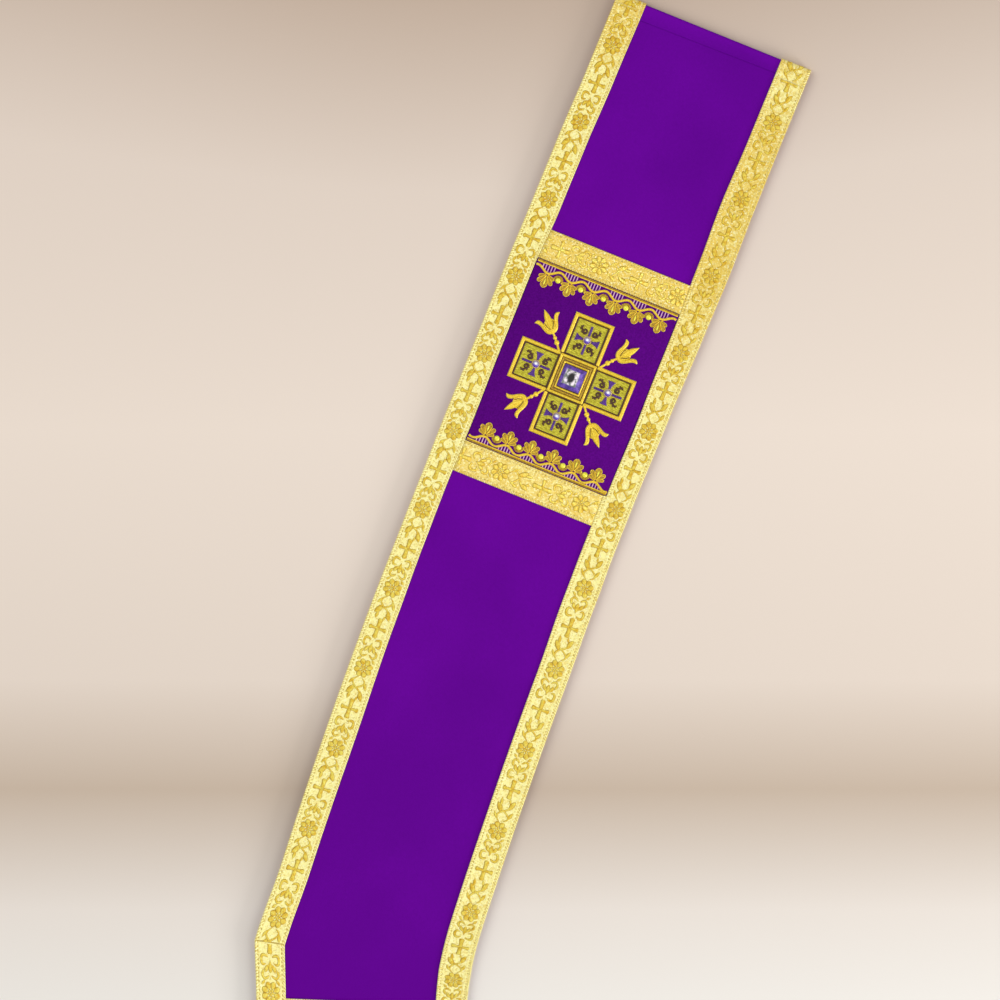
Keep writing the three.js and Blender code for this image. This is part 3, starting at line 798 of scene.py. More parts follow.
def crystal_finish():
    """Foil-backed square crystal with painted reflections: black in the middle, a ring of white glints,
    lavender outside.
    """
    made = Finish("crystal", 0.3, settings={"Coat Weight": 0.3, "Coat Roughness": 0.1})
    middle = (STONE_LOW + STONE_HIGH) / 2 / MM
    spot = made.node("ShaderNodeVectorMath", {"operation": "SUBTRACT"}, {0: made.place(), 1: tuple(middle)})
    values = {"Vector": spot.outputs["Vector"], "Angle": SHOULDER_TILT}
    turned = made.node("ShaderNodeVectorRotate", {"rotation_type": "Z_AXIS"}, values)
    parts = made.node("ShaderNodeSeparateXYZ", None, {"Vector": turned.outputs["Vector"]})
    x, y = Number(made, parts.outputs[0]) + 0.6, Number(made, parts.outputs[1]) - 0.2
    grain = made.noise(made.place(), 0.42, 2.0, 0.5)
    # The black heart is a painted reflection, and the grey-white ring holds painted glints
    ring = (x.size() / 4.6).larger(y.size() / 4.9) + grain * 0.3 - 0.15
    heart = (x * x / 4.4 + y * y / 10.2) + grain * 0.5 - 0.25
    lavender = made.mixed(grain.to_share(0.3, 0.7), (62, 34, 128), (110, 74, 186))
    glint = made.mixed(grain.to_share(0.4, 0.62), (112, 120, 112), (250, 240, 248))
    ringed = made.mixed(ring.to_share(0.95, 1.12), glint, lavender)
    made.colour(made.mixed(heart.to_share(0.6, 2.2), (16, 12, 16), ringed))
    return made


def round_crystal_finish():
    """Foil-backed round crystal: a painted white glint, a painted grey reflection above it and violet below.
    """
    made = Finish("round_crystal", 0.25, settings={"Coat Weight": 0.4, "Coat Roughness": 0.08})
    across, along = made.cloth_place()
    # A painted white glint, and a painted grey reflection over the stone's upper part
    glint = ((across * across + (along - 0.35) * (along - 0.35)) / 1.1).to_share(0.2, 1.0)
    body = made.mixed(along.to_share(-1.2, 0.8), (98, 66, 196), (176, 172, 196))
    made.colour(made.mixed(glint, (255, 252, 255), body))
    return made


# The studio floor's painted light and shade, from the far edge of the view to the near one, as (share,
# colour)
FLOOR_COLOURS = (
    (0.0, (190, 171, 155)),
    (0.19, (218, 204, 192)),
    (0.43, (227, 214, 202)),
    (0.68, (220, 207, 195)),
    (0.79, (192, 175, 158)),
    (0.91, (223, 215, 207)),
    (1.0, (228, 224, 218)),
)


def floor_finish():
    """Pale studio floor with soft painted bands of light and shade near the stole, plain further out."""
    made = Finish("studio_floor", 0.9, settings={"Specular IOR Level": 0.1})
    parts = made.node("ShaderNodeSeparateXYZ", None, {"Vector": made.place(1.0)})
    x, y = (Number(made, parts.outputs[i]) - float(VIEW_MIDDLE[i]) for i in range(2))
    beside, ahead = x.size() / VIEW_WIDTH, y / VIEW_WIDTH
    bowed = beside.to_share(0.05, 0.6, 0, 0.075) * ahead.to_share(0.1, 0.5)
    ramp = made.node("ShaderNodeValToRGB", {"stops": FLOOR_COLOURS}, {"Fac": 0.5 - ahead + bowed})
    further = beside.larger(ahead.size()).to_share(0.6, 1.3)
    made.colour(made.mixed(further, ramp.outputs["Color"], (224, 214, 204)))
    return made


MAKERS = {
    "purple_cloth": purple_cloth_finish,
    "panel_cloth": panel_cloth_finish,
    "gold_weave": gold_weave_finish,
    "gold_motif": gold_motif_finish,
    "crystal": crystal_finish,
    "round_crystal": round_crystal_finish,
    "floor": floor_finish,
}


@functools.cache
def finish(name):
    """The material of a name, made when it is first asked for."""
    if name in THREADS:
        return thread_finish(name).material
    if name in STITCHES:
        return stitch_finish(name).material
    return MAKERS[name]().material


# Cloth bands


CLOTH_COLUMNS, CLOTH_CORNER, EDGE_STEPS = 41, 0.9, 4
CLOTH_MIDDLE = (CLOTH_INNER + CLOTH_OUTER) / 2


def cloth_section():
    """The cloth's section as (share across, offset, radius), with rounded edges."""
    half = (CLOTH_OUTER - CLOTH_INNER) / 2
    shares = np.linspace(0, 1, CLOTH_COLUMNS)
    turns = [math.radians(degrees) for degrees in np.linspace(-90, 90, EDGE_STEPS + 2)[1:-1]]
    rows = []
    for end, way, radius in ((1, 1, CLOTH_INNER), (0, -1, CLOTH_OUTER)):
        rows += [(s, CLOTH_CORNER * (1 - 2 * s), radius) for s in shares[::way]]
        for turn in turns[::way]:
            offset = CLOTH_CORNER * way * (math.cos(turn) - 1)
            rows.append((end, offset, CLOTH_MIDDLE + half * math.sin(turn)))
    return np.array(rows).T


def spaced(first, last, step):
    """Even places from first to last, about a step apart."""
    return np.linspace(first, last, max(2, round((last - first) / step) + 1))


# Stations near an end, for its rounding, and the step between the others
END_ROUNDING, RUN_STEP = np.array([0, 0.12, 0.35, 0.75]), 5


def end_shares(along, start, end):
    """A wall's share of its thickness near its two ends, which are rounded."""
    near = np.clip(np.minimum(along - start, end - along) / END_ROUNDING[-1], 0, 1)
    return 0.86 + 0.14 * np.sqrt(1 - (1 - near) ** 2)


def front_run(seam_along):
    """Stations down the front half, from the seam to its end."""
    start = seam_along + SEWN / 2
    rest = spaced(start + END_ROUNDING[-1], BAND_LENGTH - END_ROUNDING[-1], RUN_STEP)
    return np.concatenate([start + END_ROUNDING[:-1], rest, (BAND_LENGTH - END_ROUNDING[:-1])[::-1]])


def back_run(seam_along, radius, fold_steps):
    """Stations up from the seam, round the fold and down the underside: along, angle, run."""
    start = seam_along - SEWN / 2
    top = np.append(start - END_ROUNDING, AXIS)
    turns = np.linspace(0, math.pi, fold_steps + 1)[1:-1]
    under = spaced(AXIS, BAND_LENGTH - END_ROUNDING[-1], RUN_STEP)
    under = np.append(under, (BAND_LENGTH - END_ROUNDING[:-1])[::-1])
    along = np.concatenate([top, np.full(len(turns), AXIS), under])
    angle = np.concatenate([np.zeros(len(top)), turns, np.full(len(under), math.pi)])
    run = np.concatenate([
        start - top,
        start - AXIS + radius * turns,
        start - AXIS + radius * math.pi + under - AXIS,
    ])
    return along, angle, run


def free_share(along, across):
    """1 in the open cloth and 0 under and beside the galloons and the panel."""
    left, right = -edge("left_inner", along), edge("right_inner", along)
    aside = smoothstep(np.minimum(across - left, right - across), 1, 14)
    return aside * free_of(UNCREASED, along, CREASE_EASE)


def declare_sheet(width, length, share):
    """Works out a flat cut's size and area in metres, from its size in millimetres and its area's share of
    its rectangle's, and keeps neither.
    """
    flat, area = (width * MM, length * MM), width * length * MM * MM * share


def cloth_band(half, stations, ends, slants, creases, length):
    """One half of the band, from its stations' places along the band, turns and runs."""
    along, angle, run = (column[:, None] for column in stations)
    share, offset, radius = cloth_section()
    left = -edge("left_outer", along) + CLOTH_INSET
    right = edge("right_outer", along) - CLOTH_INSET
    across = left + share * (right - left) + offset
    radii = CLOTH_MIDDLE + (radius - CLOTH_MIDDLE) * ends[:, None]
    radii = radii + free_share(along, across) * sum_of_bumps(creases, along, across)
    grid = on_wall(along + slants[:, None] * across, angle, across, radii)
    # How strongly the painted sheen lightens the cloth near the fold
    fold = np.clip(1 - along / FOLD_SHEEN, 0, 1)
    patch = swept(grid, u=across, v=run, fold=fold)
    piece = make_piece(f"{half}_band", [patch], ["purple_cloth"], [f"{half}_cloth"])
    declare_sheet(CLOTH_CUT_WIDTH, length, 0.99)


# Galloons

# The strip's raised section as (distance in from an edge, distance from the fold's axis)
GALLOON_PROFILE = (
    (0.0, 2.5),
    (0.1, 2.84),
    (0.4, 3.04),
    (0.9, 3.1),
    (1.4, 3.02),
    (1.7, 2.88),
    (2.5, 2.86),
    (2.8, 2.98),
    (3.2, 3.04),
    (3.5, 2.96),
    (3.7, 2.9),
)
GALLOON_GROUND = 2.9
STITCH_INSET, STITCH_PITCH = 2.1, 2.3
MOTIF_BASE, MOTIF_TOP = 2.95, 3.16
END_MARGIN = 0.4

# Each edge galloon's seam, edges on the band, pattern as (first cross, repeat, way), and how much
# painted shade tans its ground and how much painted sheen brightens its figures, as (distances along,
# values)
GLOW_ALONG = (0, 200, 330, 460)
EDGE_GALLOONS = {
    "left": {
        "seam": 6.8,
        "edges": (-1, "left_outer", "left_inner"),
        "pattern": (7.0, 55.4, 1),
        "tones": ((0, 30, 60, 500, 1320), (0.8, 0.65, 0.2, 0.08, 0.08)),
        "glows": (GLOW_ALONG, (0.0, 0.1, 0.45, 0.5)),
    },
    "right": {
        "seam": 13.1,
        "edges": (1, "right_inner", "right_outer"),
        "pattern": (14.0, 56.0, -1),
        "tones": ((0, 25, 50, 150, 200, 260, 1320), (0.6, 0.3, 0.8, 0.85, 0.5, 0.2, 0.12)),
        "glows": (GLOW_ALONG, (0.35, 0.15, 0.3, 0.5)),
    },
}
# Where the right galloon's crosses lie, as the hand-guided sewing stretched it, and how many
# even repeats follow them, which is more than the length needs
RIGHT_CROSSES = (14, 70, 124, 179.4, 234.4, 291.3, 347.5, 405, 463.7, 521, 578.7, 637)
FURTHER_CROSSES = 48
# How far the pattern on the back half is shifted
BACK_SHIFT = 9
# A line is stitched across the left galloon where the band bends at the hip
MITRE_ALONG = (HIP_BEND_START + HIP_BEND_END) / 2
MITRE_HALF = 9.6
# What is left between a galloon across the front and the ones along the edges
BUTTED = 0.06


def galloon_section():
    """The strip's section as (share across, offset, radius)."""
    rows = [(0, 0.2, TRIM_INNER), (0.5, 0, TRIM_INNER), (1, -0.2, TRIM_INNER)]
    rows += [(1, -inset, radius) for inset, radius in GALLOON_PROFILE]
    rows += [(share, 0, GALLOON_GROUND) for share in (0.72, 0.5, 0.28)]
    rows += [(0, inset, radius) for inset, radius in GALLOON_PROFILE[::-1]]
    return np.array(rows).T


def galloon_patch(along, angle, left, right, run, tone):
    """The woven strip between two edges, all given for each station."""
    share, offset, radius = galloon_section()
    left, right = left[:, None], right[:, None]
    across = left + share * (right - left) + offset
    radii = np.broadcast_to(radius, across.shape)
    inset = np.minimum(across - left, right - across)
    grid = on_wall(along[:, None], angle[:, None], across, radii)
    return swept(grid, u=across - (left + right) / 2, v=run[:, None], inset=inset, tone=tone[:, None])


def quad_curve(*points, count=7):
    """A smooth path that eases past the inner points and ends on the outer two."""
    points = [np.array(point, float) for point in points]
    joints = [points[0], *((a + b) / 2 for a, b in zip(points[1:-2], points[2:-1])), points[-1]]
    t = np.linspace(0, 1, count)[:, None]
    parts = []
    for start, pull, end in zip(joints[:-1], points[1:-1], joints[1:]):
        parts.append((1 - t) ** 2 * start + 2 * t * (1 - t) * pull + t * t * end)
    return np.concatenate([parts[0], *(part[1:] for part in parts[1:])])


def petal(base, tip, width, belly=0.55, bend=0.0, count=6):
    """A woven petal or leaf from its base to its tip, broadest at its belly."""
    base, tip = np.array(base, float), np.array(tip, float)
    t = np.linspace(0, 1, count)[:, None]
    ahead = (tip - base) / np.linalg.norm(tip - base)
    side = np.array([-ahead[1], ahead[0]])
    spine = base + (tip - base) * t + side * bend * np.sin(math.pi * t)
    power = math.log(0.5) / math.log(belly)
    half = side * (width / 2 * np.sin(math.pi * np.clip(t, 0.03, 0.97) ** power) ** 0.7)
    return satin(spine - half, spine + half, MOTIF_BASE, MOTIF_TOP, count=count, columns=3)


def scroll(width, *points):
    """A woven stem that tapers at both ends."""
    path = quad_curve(*points, count=5)
    return along_path(path, width, MOTIF_BASE, MOTIF_TOP - 0.04, taper=0.7, count=11, columns=3)


# Rings of the rosette as (petals, first turn, inner and outer radius, width, belly, stations)
ROSETTE = ((8, 22.5, 1.7, 6.3, 4.1, 0.62, 6), (5, 0, 0.25, 2.1, 1.8, 0.6, 4))
ROSETTE_ALONG = 27.6


def galloon_repeat():
    """One repeat of the galloon's pattern, flat: a cross, a cup with its flower, a rosette and
    two crossing stems with their leaves. Y runs along the galloon from the cross's middle."""
    made = []
    for way in (-1, 1):
        arm = [(1.35, 0), (1.3, 2.6), (1.5, 4.6), (1.9, 6.1), (1.0, 6.7)]
        right = np.array(arm) * (1, way)
        made.append(satin(right * (-1, 1), right, MOTIF_BASE, MOTIF_TOP, count=6, columns=3))
        arm = [(0.4, 0.9), (2.6, 0.9), (4.2, 1.15), (5.4, 1.7), (6.0, 0.9)]
        upper = np.array(arm) * (way, 1)
        made.append(satin(upper * (1, -1), upper, MOTIF_BASE, MOTIF_TOP - 0.02, count=6, columns=3))
        cup = ((1.4, 8.4), (4.6, 6.4), (6.4, 9.6), (5.0, 13.4), (2.9, 11.8))
        made += [
            scroll(1.8, *((way * x, y) for x, y in cup)),
            petal((way * 0.6, 12.3), (way * 3.4, 16.6), 2.6, 0.6, way * -0.5),
            petal((way * 4.2, 14.9), (way * 5.9, 18.7), 1.9),
            scroll(1.5, (way * 0.8, 18.3), (way * 3.2, 20.4), (way * 5.2, 19.2), (way * 5.9, 16.6)),
            petal((way * 3.6, 20.8), (way * 6.1, 23.2), 1.7),
        ]
    made.append(petal((0, 10.0), (0, 16.9), 3.0, 0.62))
    for petals, first, inner, outer, width, belly, count in ROSETTE:
        for i in range(petals):
            turn = math.radians(first + 360 / petals * i)
            out = np.array([math.sin(turn), math.cos(turn)])
            ends = out * inner + (0, ROSETTE_ALONG), out * outer + (0, ROSETTE_ALONG)
            made.append(petal(*ends, width, belly, count=count))
    made += [
        scroll(1.2, (-1.2, 33.6), (-5.6, 36.4), (-1.0, 41.2), (2.8, 42.4), (3.4, 46.0)),
        scroll(1.2, (1.4, 34.2), (5.6, 36.2), (1.2, 40.4), (-2.8, 42.0), (-3.2, 44.4)),
        petal((2.9, 42.6), (5.4, 48.8), 3.4, 0.5, 0.4),
        petal((-2.4, 40.0), (-5.8, 45.8), 3.8, 0.5, -0.4),
        petal((-3.4, 44.6), (-4.0, 49.4), 2.2, 0.45),
        petal((3.8, 36.4), (6.0, 41.2), 2.3, 0.5),
        petal((-4.0, 35.4), (-6.1, 39.4), 1.8, 0.5),
        petal((2.2, 46.6), (1.6, 49.6), 1.5, 0.45),
    ]
    return made


def pellet(length, width, base, top):
    """A small rounded stitch that lies along Y."""
    rows = [(-0.5, 0.35), (-0.3, 1), (0.3, 1), (0.5, 0.35)]
    section_points = [(-0.5, 0), (-0.3, 1), (0.3, 1), (0.5, 0)]
    grid = [
        [(x * width * size, y * length, base + (top - base) * z * size) for x, z in section_points]
        for y, size in rows
    ]
    return swept(np.array(grid))


@functools.cache
def repeat_shape(way):
    """One repeat as a single patch, running one way or the other."""
    return join([part.moved(lambda q: q * (1, way, 1)) for part in galloon_repeat()])


def pattern_row(pattern, low, high):
    """The galloon's figures between two distances along it, flat, with y as that distance."""
    first, period, way = pattern
    start = math.floor((low - first) / period) - 1
    count = math.ceil((high - first) / period) - start + 2
    inputs = {"First": first + start * period, "Pitch": float(period), "Count": count, "Seed": 3}
    figures = repeated(row_tree, repeat_shape(way), Thread=finish("gold_motif"), **inputs)
    return clipped(figures, low + END_MARGIN, high - END_MARGIN)


def stitch_row(low, high, seed):
    """A straight row of stitches between two distances, flat."""
    shape = pellet(1.35, 0.85, 2.84, 3.0)
    count = int((high - low - 1.2) / STITCH_PITCH)
    inputs = {"First": low + 1.0, "Pitch": STITCH_PITCH, "Count": count, "Seed": seed}
    return repeated(row_tree, shape, Thread=finish("galloon_stitch"), finish_index=1, **inputs)


def with_cloth_place(patch, place):
    """Bends a flat patch onto the stole and keeps its flat place for the finish."""
    flat = patch.points
    made = patch.moved(place)
    made.values = {**patch.values, "u": flat[:, 0], "v": flat[:, 1], "height": flat[:, 2]}
    return made


def galloon_pieces(name, node, patch, figures, rows):
    """Makes a galloon's woven strip and its figures with their stitches."""
    piece = make_piece(name, [patch], ["gold_weave"], [node])
    finishes = ["gold_motif", "galloon_stitch"]
    return piece, make_piece(f"{name}_figures", [figures, *rows], finishes)


def sewn_by_hand(figures, first, repeat):
    """Moves evenly repeated figures to where the right galloon's crosses lie."""
    further = RIGHT_CROSSES[-1] + repeat * np.arange(1, FURTHER_CROSSES + 1)
    sewn = [first - repeat, *RIGHT_CROSSES, *further]
    even = first + repeat * np.arange(-1, len(sewn) - 1)
    stretched = np.interp(figures.points[:, 1], even, sewn)
    return figures.moved(lambda q: np.stack([q[:, 0], stretched, q[:, 2]], -1))


def edge_galloon(side, half):
    """The galloon along one edge of one half, with its woven figures and its stitches."""
    made = EDGE_GALLOONS[side]
    sign, *names = made["edges"]
    pushed, mitred = (side, half) == ("right", "front"), (side, half) == ("left", "front")
    if half == "front":
        run = front_run(made["seam"])
        if pushed:
            run = np.union1d(run, [PANEL_BOTTOM, PANEL_BOTTOM + GAP])
        along, angle = run, np.zeros(len(run))
    else:
        along, angle, run = back_run(made["seam"], GALLOON_GROUND, 16)

    def edges(at):
        """The strip's two edges at distances along the band, the first one pushed by the panel."""
        first, second = (sign * edge(name, at) for name in names)
        return [first + panel_push(at), second] if pushed else [first, second]

    def middle(at):
        """The line that the figures follow, which eases past the panel's push."""
        smoothed = (panel_push(at, 40) - panel_push(at)) / 2 if pushed else 0
        return sum(edges(at)) / 2 + smoothed

    def laid(patch, line):
        """Bends a flat patch onto the wall along a line, with its y as the run."""
        def place(points):
            at = np.interp(points[:, 1], run, along)
            turn = np.interp(points[:, 1], run, angle)
            return on_wall(at, np.where(turn < 1e-6, 0, turn), line(at) + points[:, 0], points[:, 2])
        return with_cloth_place(patch, place)

    left, right = edges(along)
    # The ground's painted shade follows the distance along the band
    patch = galloon_patch(along, angle, left, right, run, np.interp(along, *made["tones"]))
    low, high = float(run.min()), float(run.max())
    first, repeat, way = made["pattern"]
    if half == "back":
        first, way = first + BACK_SHIFT, -way
    if mitred:
        above = pattern_row((first, repeat, way), low, MITRE_ALONG)
        below = pattern_row((MITRE_ALONG - 1, repeat, way), MITRE_ALONG, high)
        figures = join([above, below])
    else:
        figures = pattern_row((first, repeat, way), low, high)
    if pushed:
        figures = sewn_by_hand(figures, first, repeat)
        figures = clipped(figures, low + END_MARGIN, high - END_MARGIN)
    woven = laid(figures, middle)
    # The figures' painted sheen follows the distance along the band
    woven.values["glow"] = np.interp(np.interp(figures.points[:, 1], run, along), *made["glows"])
    rows = []
    for i, inwards in ((0, 1), (1, -1)):
        inset = inwards * STITCH_INSET
        rows.append(laid(stitch_row(low, high, 5 + i), lambda at: edges(at)[i] + inset))
    if mitred:
        ends = [(way * MITRE_HALF, MITRE_ALONG - 0.6) for way in (-1, 1)]
        rows.append(laid(along_path(ends, 0.7, GALLOON_GROUND, 3.15, 0.9, 1, ridge=0.4), middle))
    pieces = galloon_pieces(f"{half}_trim_{side}", f"{half}_galloon_{side}", patch, woven, rows)
    width = float((right - left).max())
    declare_sheet(width, high - low, 0.98)


def inner_crossing(start, heading, side, near):
    """Where a line across the band meets an edge galloon's inner edge, by halving."""
    name = "left_inner" if side < 0 else "right_inner"

    def place(along):
        return np.array(plan(along, side * (edge(name, along) - BUTTED)))

    def off_line(along):
        x, y = place(along)
        return (x - start[0]) * heading[1] - (y - start[1]) * heading[0]

    low, high = near - 60.0, near + 60.0
    rising = off_line(high) > off_line(low)
    for _ in range(40):
        halfway = (low + high) / 2
        if (off_line(halfway) > 0) == rising:
            high = halfway
        else:
            low = halfway
    return place((low + high) / 2)


def cross_galloon(node, along, width, tilt, pattern, tone, glow):
    """A galloon across the front, between the two edge galloons."""
    heading = np.array([math.cos(tilt), -math.sin(tilt)])
    down = np.array([-math.sin(tilt), -math.cos(tilt)])
    start = np.array(plan(along, 0))
    (top_left, top_right), (low_left, low_right) = [
        [inner_crossing(start + down * drop, heading, side, along + drop) for side in (-1, 1)]
        for drop in (0, width)
    ]
    length = float(np.linalg.norm(top_right - top_left))
    share, offset, radius = galloon_section()
    s, t = share + offset / width, spaced(0, 1, 0.025)[:, None]
    left = top_left + (low_left - top_left) * s[:, None]
    right = top_right + (low_right - top_right) * s[:, None]
    spot = left + (right - left) * t[..., None]
    height = np.broadcast_to(AXIS + radius, spot.shape[:2])
    grid = np.concatenate([spot, height[..., None]], -1)
    inset = np.minimum(s, 1 - s) * width
    # The ground's painted shade is even across this galloon
    patch = swept(grid, u=(s - 0.5) * width, v=t * length, inset=inset, tone=tone)

    def place(points):
        spots = start + points[:, 1:2] * heading + (width / 2 + points[:, 0:1]) * down
        return np.concatenate([spots, AXIS + points[:, 2:3]], -1)

    low = max(float((corner - start) @ heading) for corner in (top_left, low_left))
    high = min(float((corner - start) @ heading) for corner in (top_right, low_right))
    figures = with_cloth_place(pattern_row(pattern, low, high), place)
    # The figures' painted sheen is even across this galloon
    figures.values["glow"] = np.full(len(figures.points), glow)
    rows = []
    for i, side in enumerate((-1, 1)):
        aside = side * (width / 2 - STITCH_INSET)
        row = stitch_row(low, high, 7 + i).moved(lambda q: q + (aside, 0, 0))
        rows.append(with_cloth_place(row, place))
    piece, threads = galloon_pieces(node.replace("galloon", "trim"), node, patch, figures, rows)
    declare_sheet(length, width, 0.99)


# Embroidery on the panel

SATIN_STEPS, SATIN_FULLNESS = 6, 0.8


def resampled(path, count):
    """The same path with a number of evenly spaced points."""
    path = np.asarray(path, float)
    lengths = np.concatenate([[0], np.cumsum(np.linalg.norm(np.diff(path, axis=0), axis=1))])
    at = np.linspace(0, lengths[-1], count)
    return np.stack([np.interp(at, lengths, path[:, k]) for k in range(path.shape[1])], -1)


def path_length(path):
    return float(np.linalg.norm(np.diff(np.asarray(path, float), axis=0), axis=1).sum())


def satin(
    rail_a, rail_b, base, top, pitch=0.5, finish_index=0, ridge=0.16, columns=SATIN_STEPS, count=None
):
    """A raised strip of threads laid from one rail to the other, closed underneath. Given a
    count of stations, it is smooth instead of ridged."""
    if count is None:
        threads = max(3, round(max(path_length(rail_a), path_length(rail_b)) / pitch))
        count = 2 * threads + 1
        valley = 1 - ridge * (np.arange(count) % 2 == 0)
    else:
        valley = np.ones(count)
    a, b = resampled(rail_a, count), resampled(rail_b, count)
    shares = np.linspace(0, 1, columns + 1)
    arch = np.sqrt(np.clip(1 - (2 * shares - 1) ** 2, 0, 1)) ** SATIN_FULLNESS
    width = np.linalg.norm(b - a, axis=1)
    rise = np.minimum(1, width / (0.5 * max(width.max(), 1e-6))) * valley
    over = a[:, None, :] + (b - a)[:, None, :] * shares[None, :, None]
    height = base + (top - base) * (0.12 + 0.88 * arch[None, :]) * rise[:, None]
    upper = np.concatenate([over, height[..., None]], -1)
    lower = np.concatenate([over[:, ::-1][:, [0, -1]], np.full((count, 2, 1), base - 0.25)], -1)
    return swept(np.concatenate([upper, lower], 1), finish=finish_index)


def along_path(path, width, base, top, pitch=0.5, finish_index=0, taper=0.0, **more):
    """Satin of an even or tapering width along a middle path."""
    path = resampled(path, max(6, round(path_length(path) / 0.5)))
    ahead = np.gradient(path, axis=0)
    ahead /= np.maximum(np.linalg.norm(ahead, axis=1, keepdims=True), 1e-9)
    side = np.stack([-ahead[:, 1], ahead[:, 0]], -1)
    t = np.linspace(0, 1, len(path))[:, None]
    half = width / 2 * (1 - taper * np.abs(2 * t - 1) ** 4)
    return satin(path - side * half, path + side * half, base, top, pitch, finish_index, **more)


SIDES = {"top": ("tl", "tr"), "right": ("tr", "br"), "bottom": ("br", "bl"), "left": ("bl", "tl")}


def corners_of(left, low, right, high):
    """A rectangle's corners, named by where they lie."""
    return {"bl": (left, low), "br": (right, low), "tr": (right, high), "tl": (left, high)}


def rectangle(width, length, middle):
    """The corners of a rectangle about a middle."""
    x, y = middle
    return corners_of(x - width / 2, y - length / 2, x + width / 2, y + length / 2)


def frame_of_satin(width, length, middle, thick, base, top, sides=tuple(SIDES), index=0):
    """Satin along the sides of a rectangle, mitred where two meet, measured at its outer edge."""
    outer = rectangle(width, length, middle)
    (left, low), (right, high) = outer["bl"], outer["tr"]
    inner = corners_of(
        left + thick * ("left" in sides),
        low + thick * ("bottom" in sides),
        right - thick * ("right" in sides),
        high - thick * ("top" in sides),
    )
    return [
        satin([outer[a], outer[b]], [inner[a], inner[b]], base, top, finish_index=index)
        for a, b in (SIDES[side] for side in sides)
    ]


CELL_WIDTH, CELL_LENGTH = 27, 28.4
FRAME_WIDTH = 2.6
STONE_SIDE = 15.4
ARMS = {"top": (0, 1), "right": (1, 0), "bottom": (0, -1), "left": (-1, 0)}
OPPOSITE = {"top": "bottom", "right": "left", "bottom": "top", "left": "right"}
GROUND_TOP, SLAB_ROUNDING = 0.8, 0.15


def slab(corners, base, top, finish_index=0):
    """A flat plate with a softened upper edge."""
    corners = np.asarray(corners, float)
    towards = corners.mean(0) - corners
    towards /= np.linalg.norm(towards, axis=1, keepdims=True)
    levels = ((base, 0), (top - SLAB_ROUNDING, 0), (top - SLAB_ROUNDING * 0.3, 0.3), (top, 1))
    rows = []
    for height, inset in levels:
        ring = corners + towards * inset * SLAB_ROUNDING
        rows.append(np.concatenate([ring, np.full((len(ring), 1), height)], -1))
    grid = np.stack(rows)
    return swept(grid, finish=finish_index, u=grid[..., 0], v=grid[..., 1])


def panel_piece(name, patches, finishes, replaces=()):
    """Makes a piece that lies on the panel."""
    return make_piece(name, [patch.moved(on_panel) for patch in patches], finishes, replaces)


def about_cross(patches):
    """Moves patches from round the panel's middle to round the cross's."""
    shift = np.array([*CROSS_MIDDLE, 0])
    return [patch.moved(lambda points: points + shift) for patch in patches]


def arm_middle(arm):
    """The middle of an arm's frame."""
    x, y = ARMS[arm]
    return x * CELL_WIDTH, y * CELL_LENGTH


def field_middle(arm):
    """The middle of an arm's field, inside its three-sided frame."""
    x, y = ARMS[arm]
    return x * (CELL_WIDTH - FRAME_WIDTH / 2), y * (CELL_LENGTH - FRAME_WIDTH / 2)


def turned_quarter(path, arm):
    """Swaps the two axes for the arms that lie across."""
    path = np.asarray(path, float)
    return path if ARMS[arm][0] == 0 else path[..., ::-1]


def cross_patches():
    """Frames, fields, dark lines, crosslets and curls; finishes are numbered in CROSS_FINISHES."""
    made = []
    for arm in ARMS:
        sides = [side for side in SIDES if side != OPPOSITE[arm]]
        cell = (CELL_WIDTH + 0.6, CELL_LENGTH + 0.2, arm_middle(arm))
        made += frame_of_satin(*cell, FRAME_WIDTH, 0.6, 1.95, sides)
        middle = field_middle(arm)
        field_width = CELL_WIDTH - FRAME_WIDTH * (2 if ARMS[arm][0] == 0 else 1)
        field_length = CELL_LENGTH - FRAME_WIDTH * (2 if ARMS[arm][1] == 0 else 1)
        field = rectangle(field_width, field_length, middle)
        made.append(slab(list(field.values()), 0.5, 1.25, 1))
        made.append(filling(field_width - 1.2, field_length - 1.2, middle))
        made += dark_lines(field_width + 0.1, field_length + 0.1, middle)
        made += crosslet(arm, middle)
    heart = rectangle(CELL_WIDTH + 0.6, CELL_LENGTH + 0.6, (0, 0))
    made.append(slab(list(heart.values()), 0.5, 1.2, 3))
    made += dark_lines(CELL_WIDTH + 0.5, CELL_LENGTH + 0.3, (0, 0), 2.05)
    made += frame_of_satin(CELL_WIDTH - 1, CELL_LENGTH - 0.8, (0, 0), 2.1, 0.8, 2.15)
    made += frame_of_satin(CELL_WIDTH - 5.4, CELL_LENGTH - 5.2, (0, 0), 1.7, 0.8, 1.7, index=2)
    made += frame_of_satin(STONE_SIDE + 2.7, STONE_SIDE + 3.9, (0, 0), 1.45, 0.8, 2.2)
    return made


def filling(width, length, middle):
    """The flat filling of an arm: short stitches laid like bricks."""
    stitch = pellet(1.5, 0.5, 1.15, 1.36)
    places = []
    for row, y in enumerate(np.arange(-length / 2 + 0.3, length / 2 - 0.2, 0.52)):
        first = -width / 2 + 0.75 + (row % 3) * 0.5
        for x in np.arange(first, width / 2 - 0.6, 1.5):
            places.append((x + middle[0], y + middle[1], 0))
    turns = np.full(len(places), math.pi / 2)
    return repeated(scatter_tree, stitch, places, turns, 1, Seed=11, Thread=finish("field_gold"))


def dark_lines(width, length, middle, top=1.62):
    """A dark stitched line round a rectangle, measured along the line's outer edge."""
    corner = rectangle(width - 0.8, length - 0.8, middle)
    return [
        along_path([corner[a], corner[b]], 0.85, 1.2, top, 1.1, 3, ridge=0.4, columns=3)
        for a, b in SIDES.values()
    ]


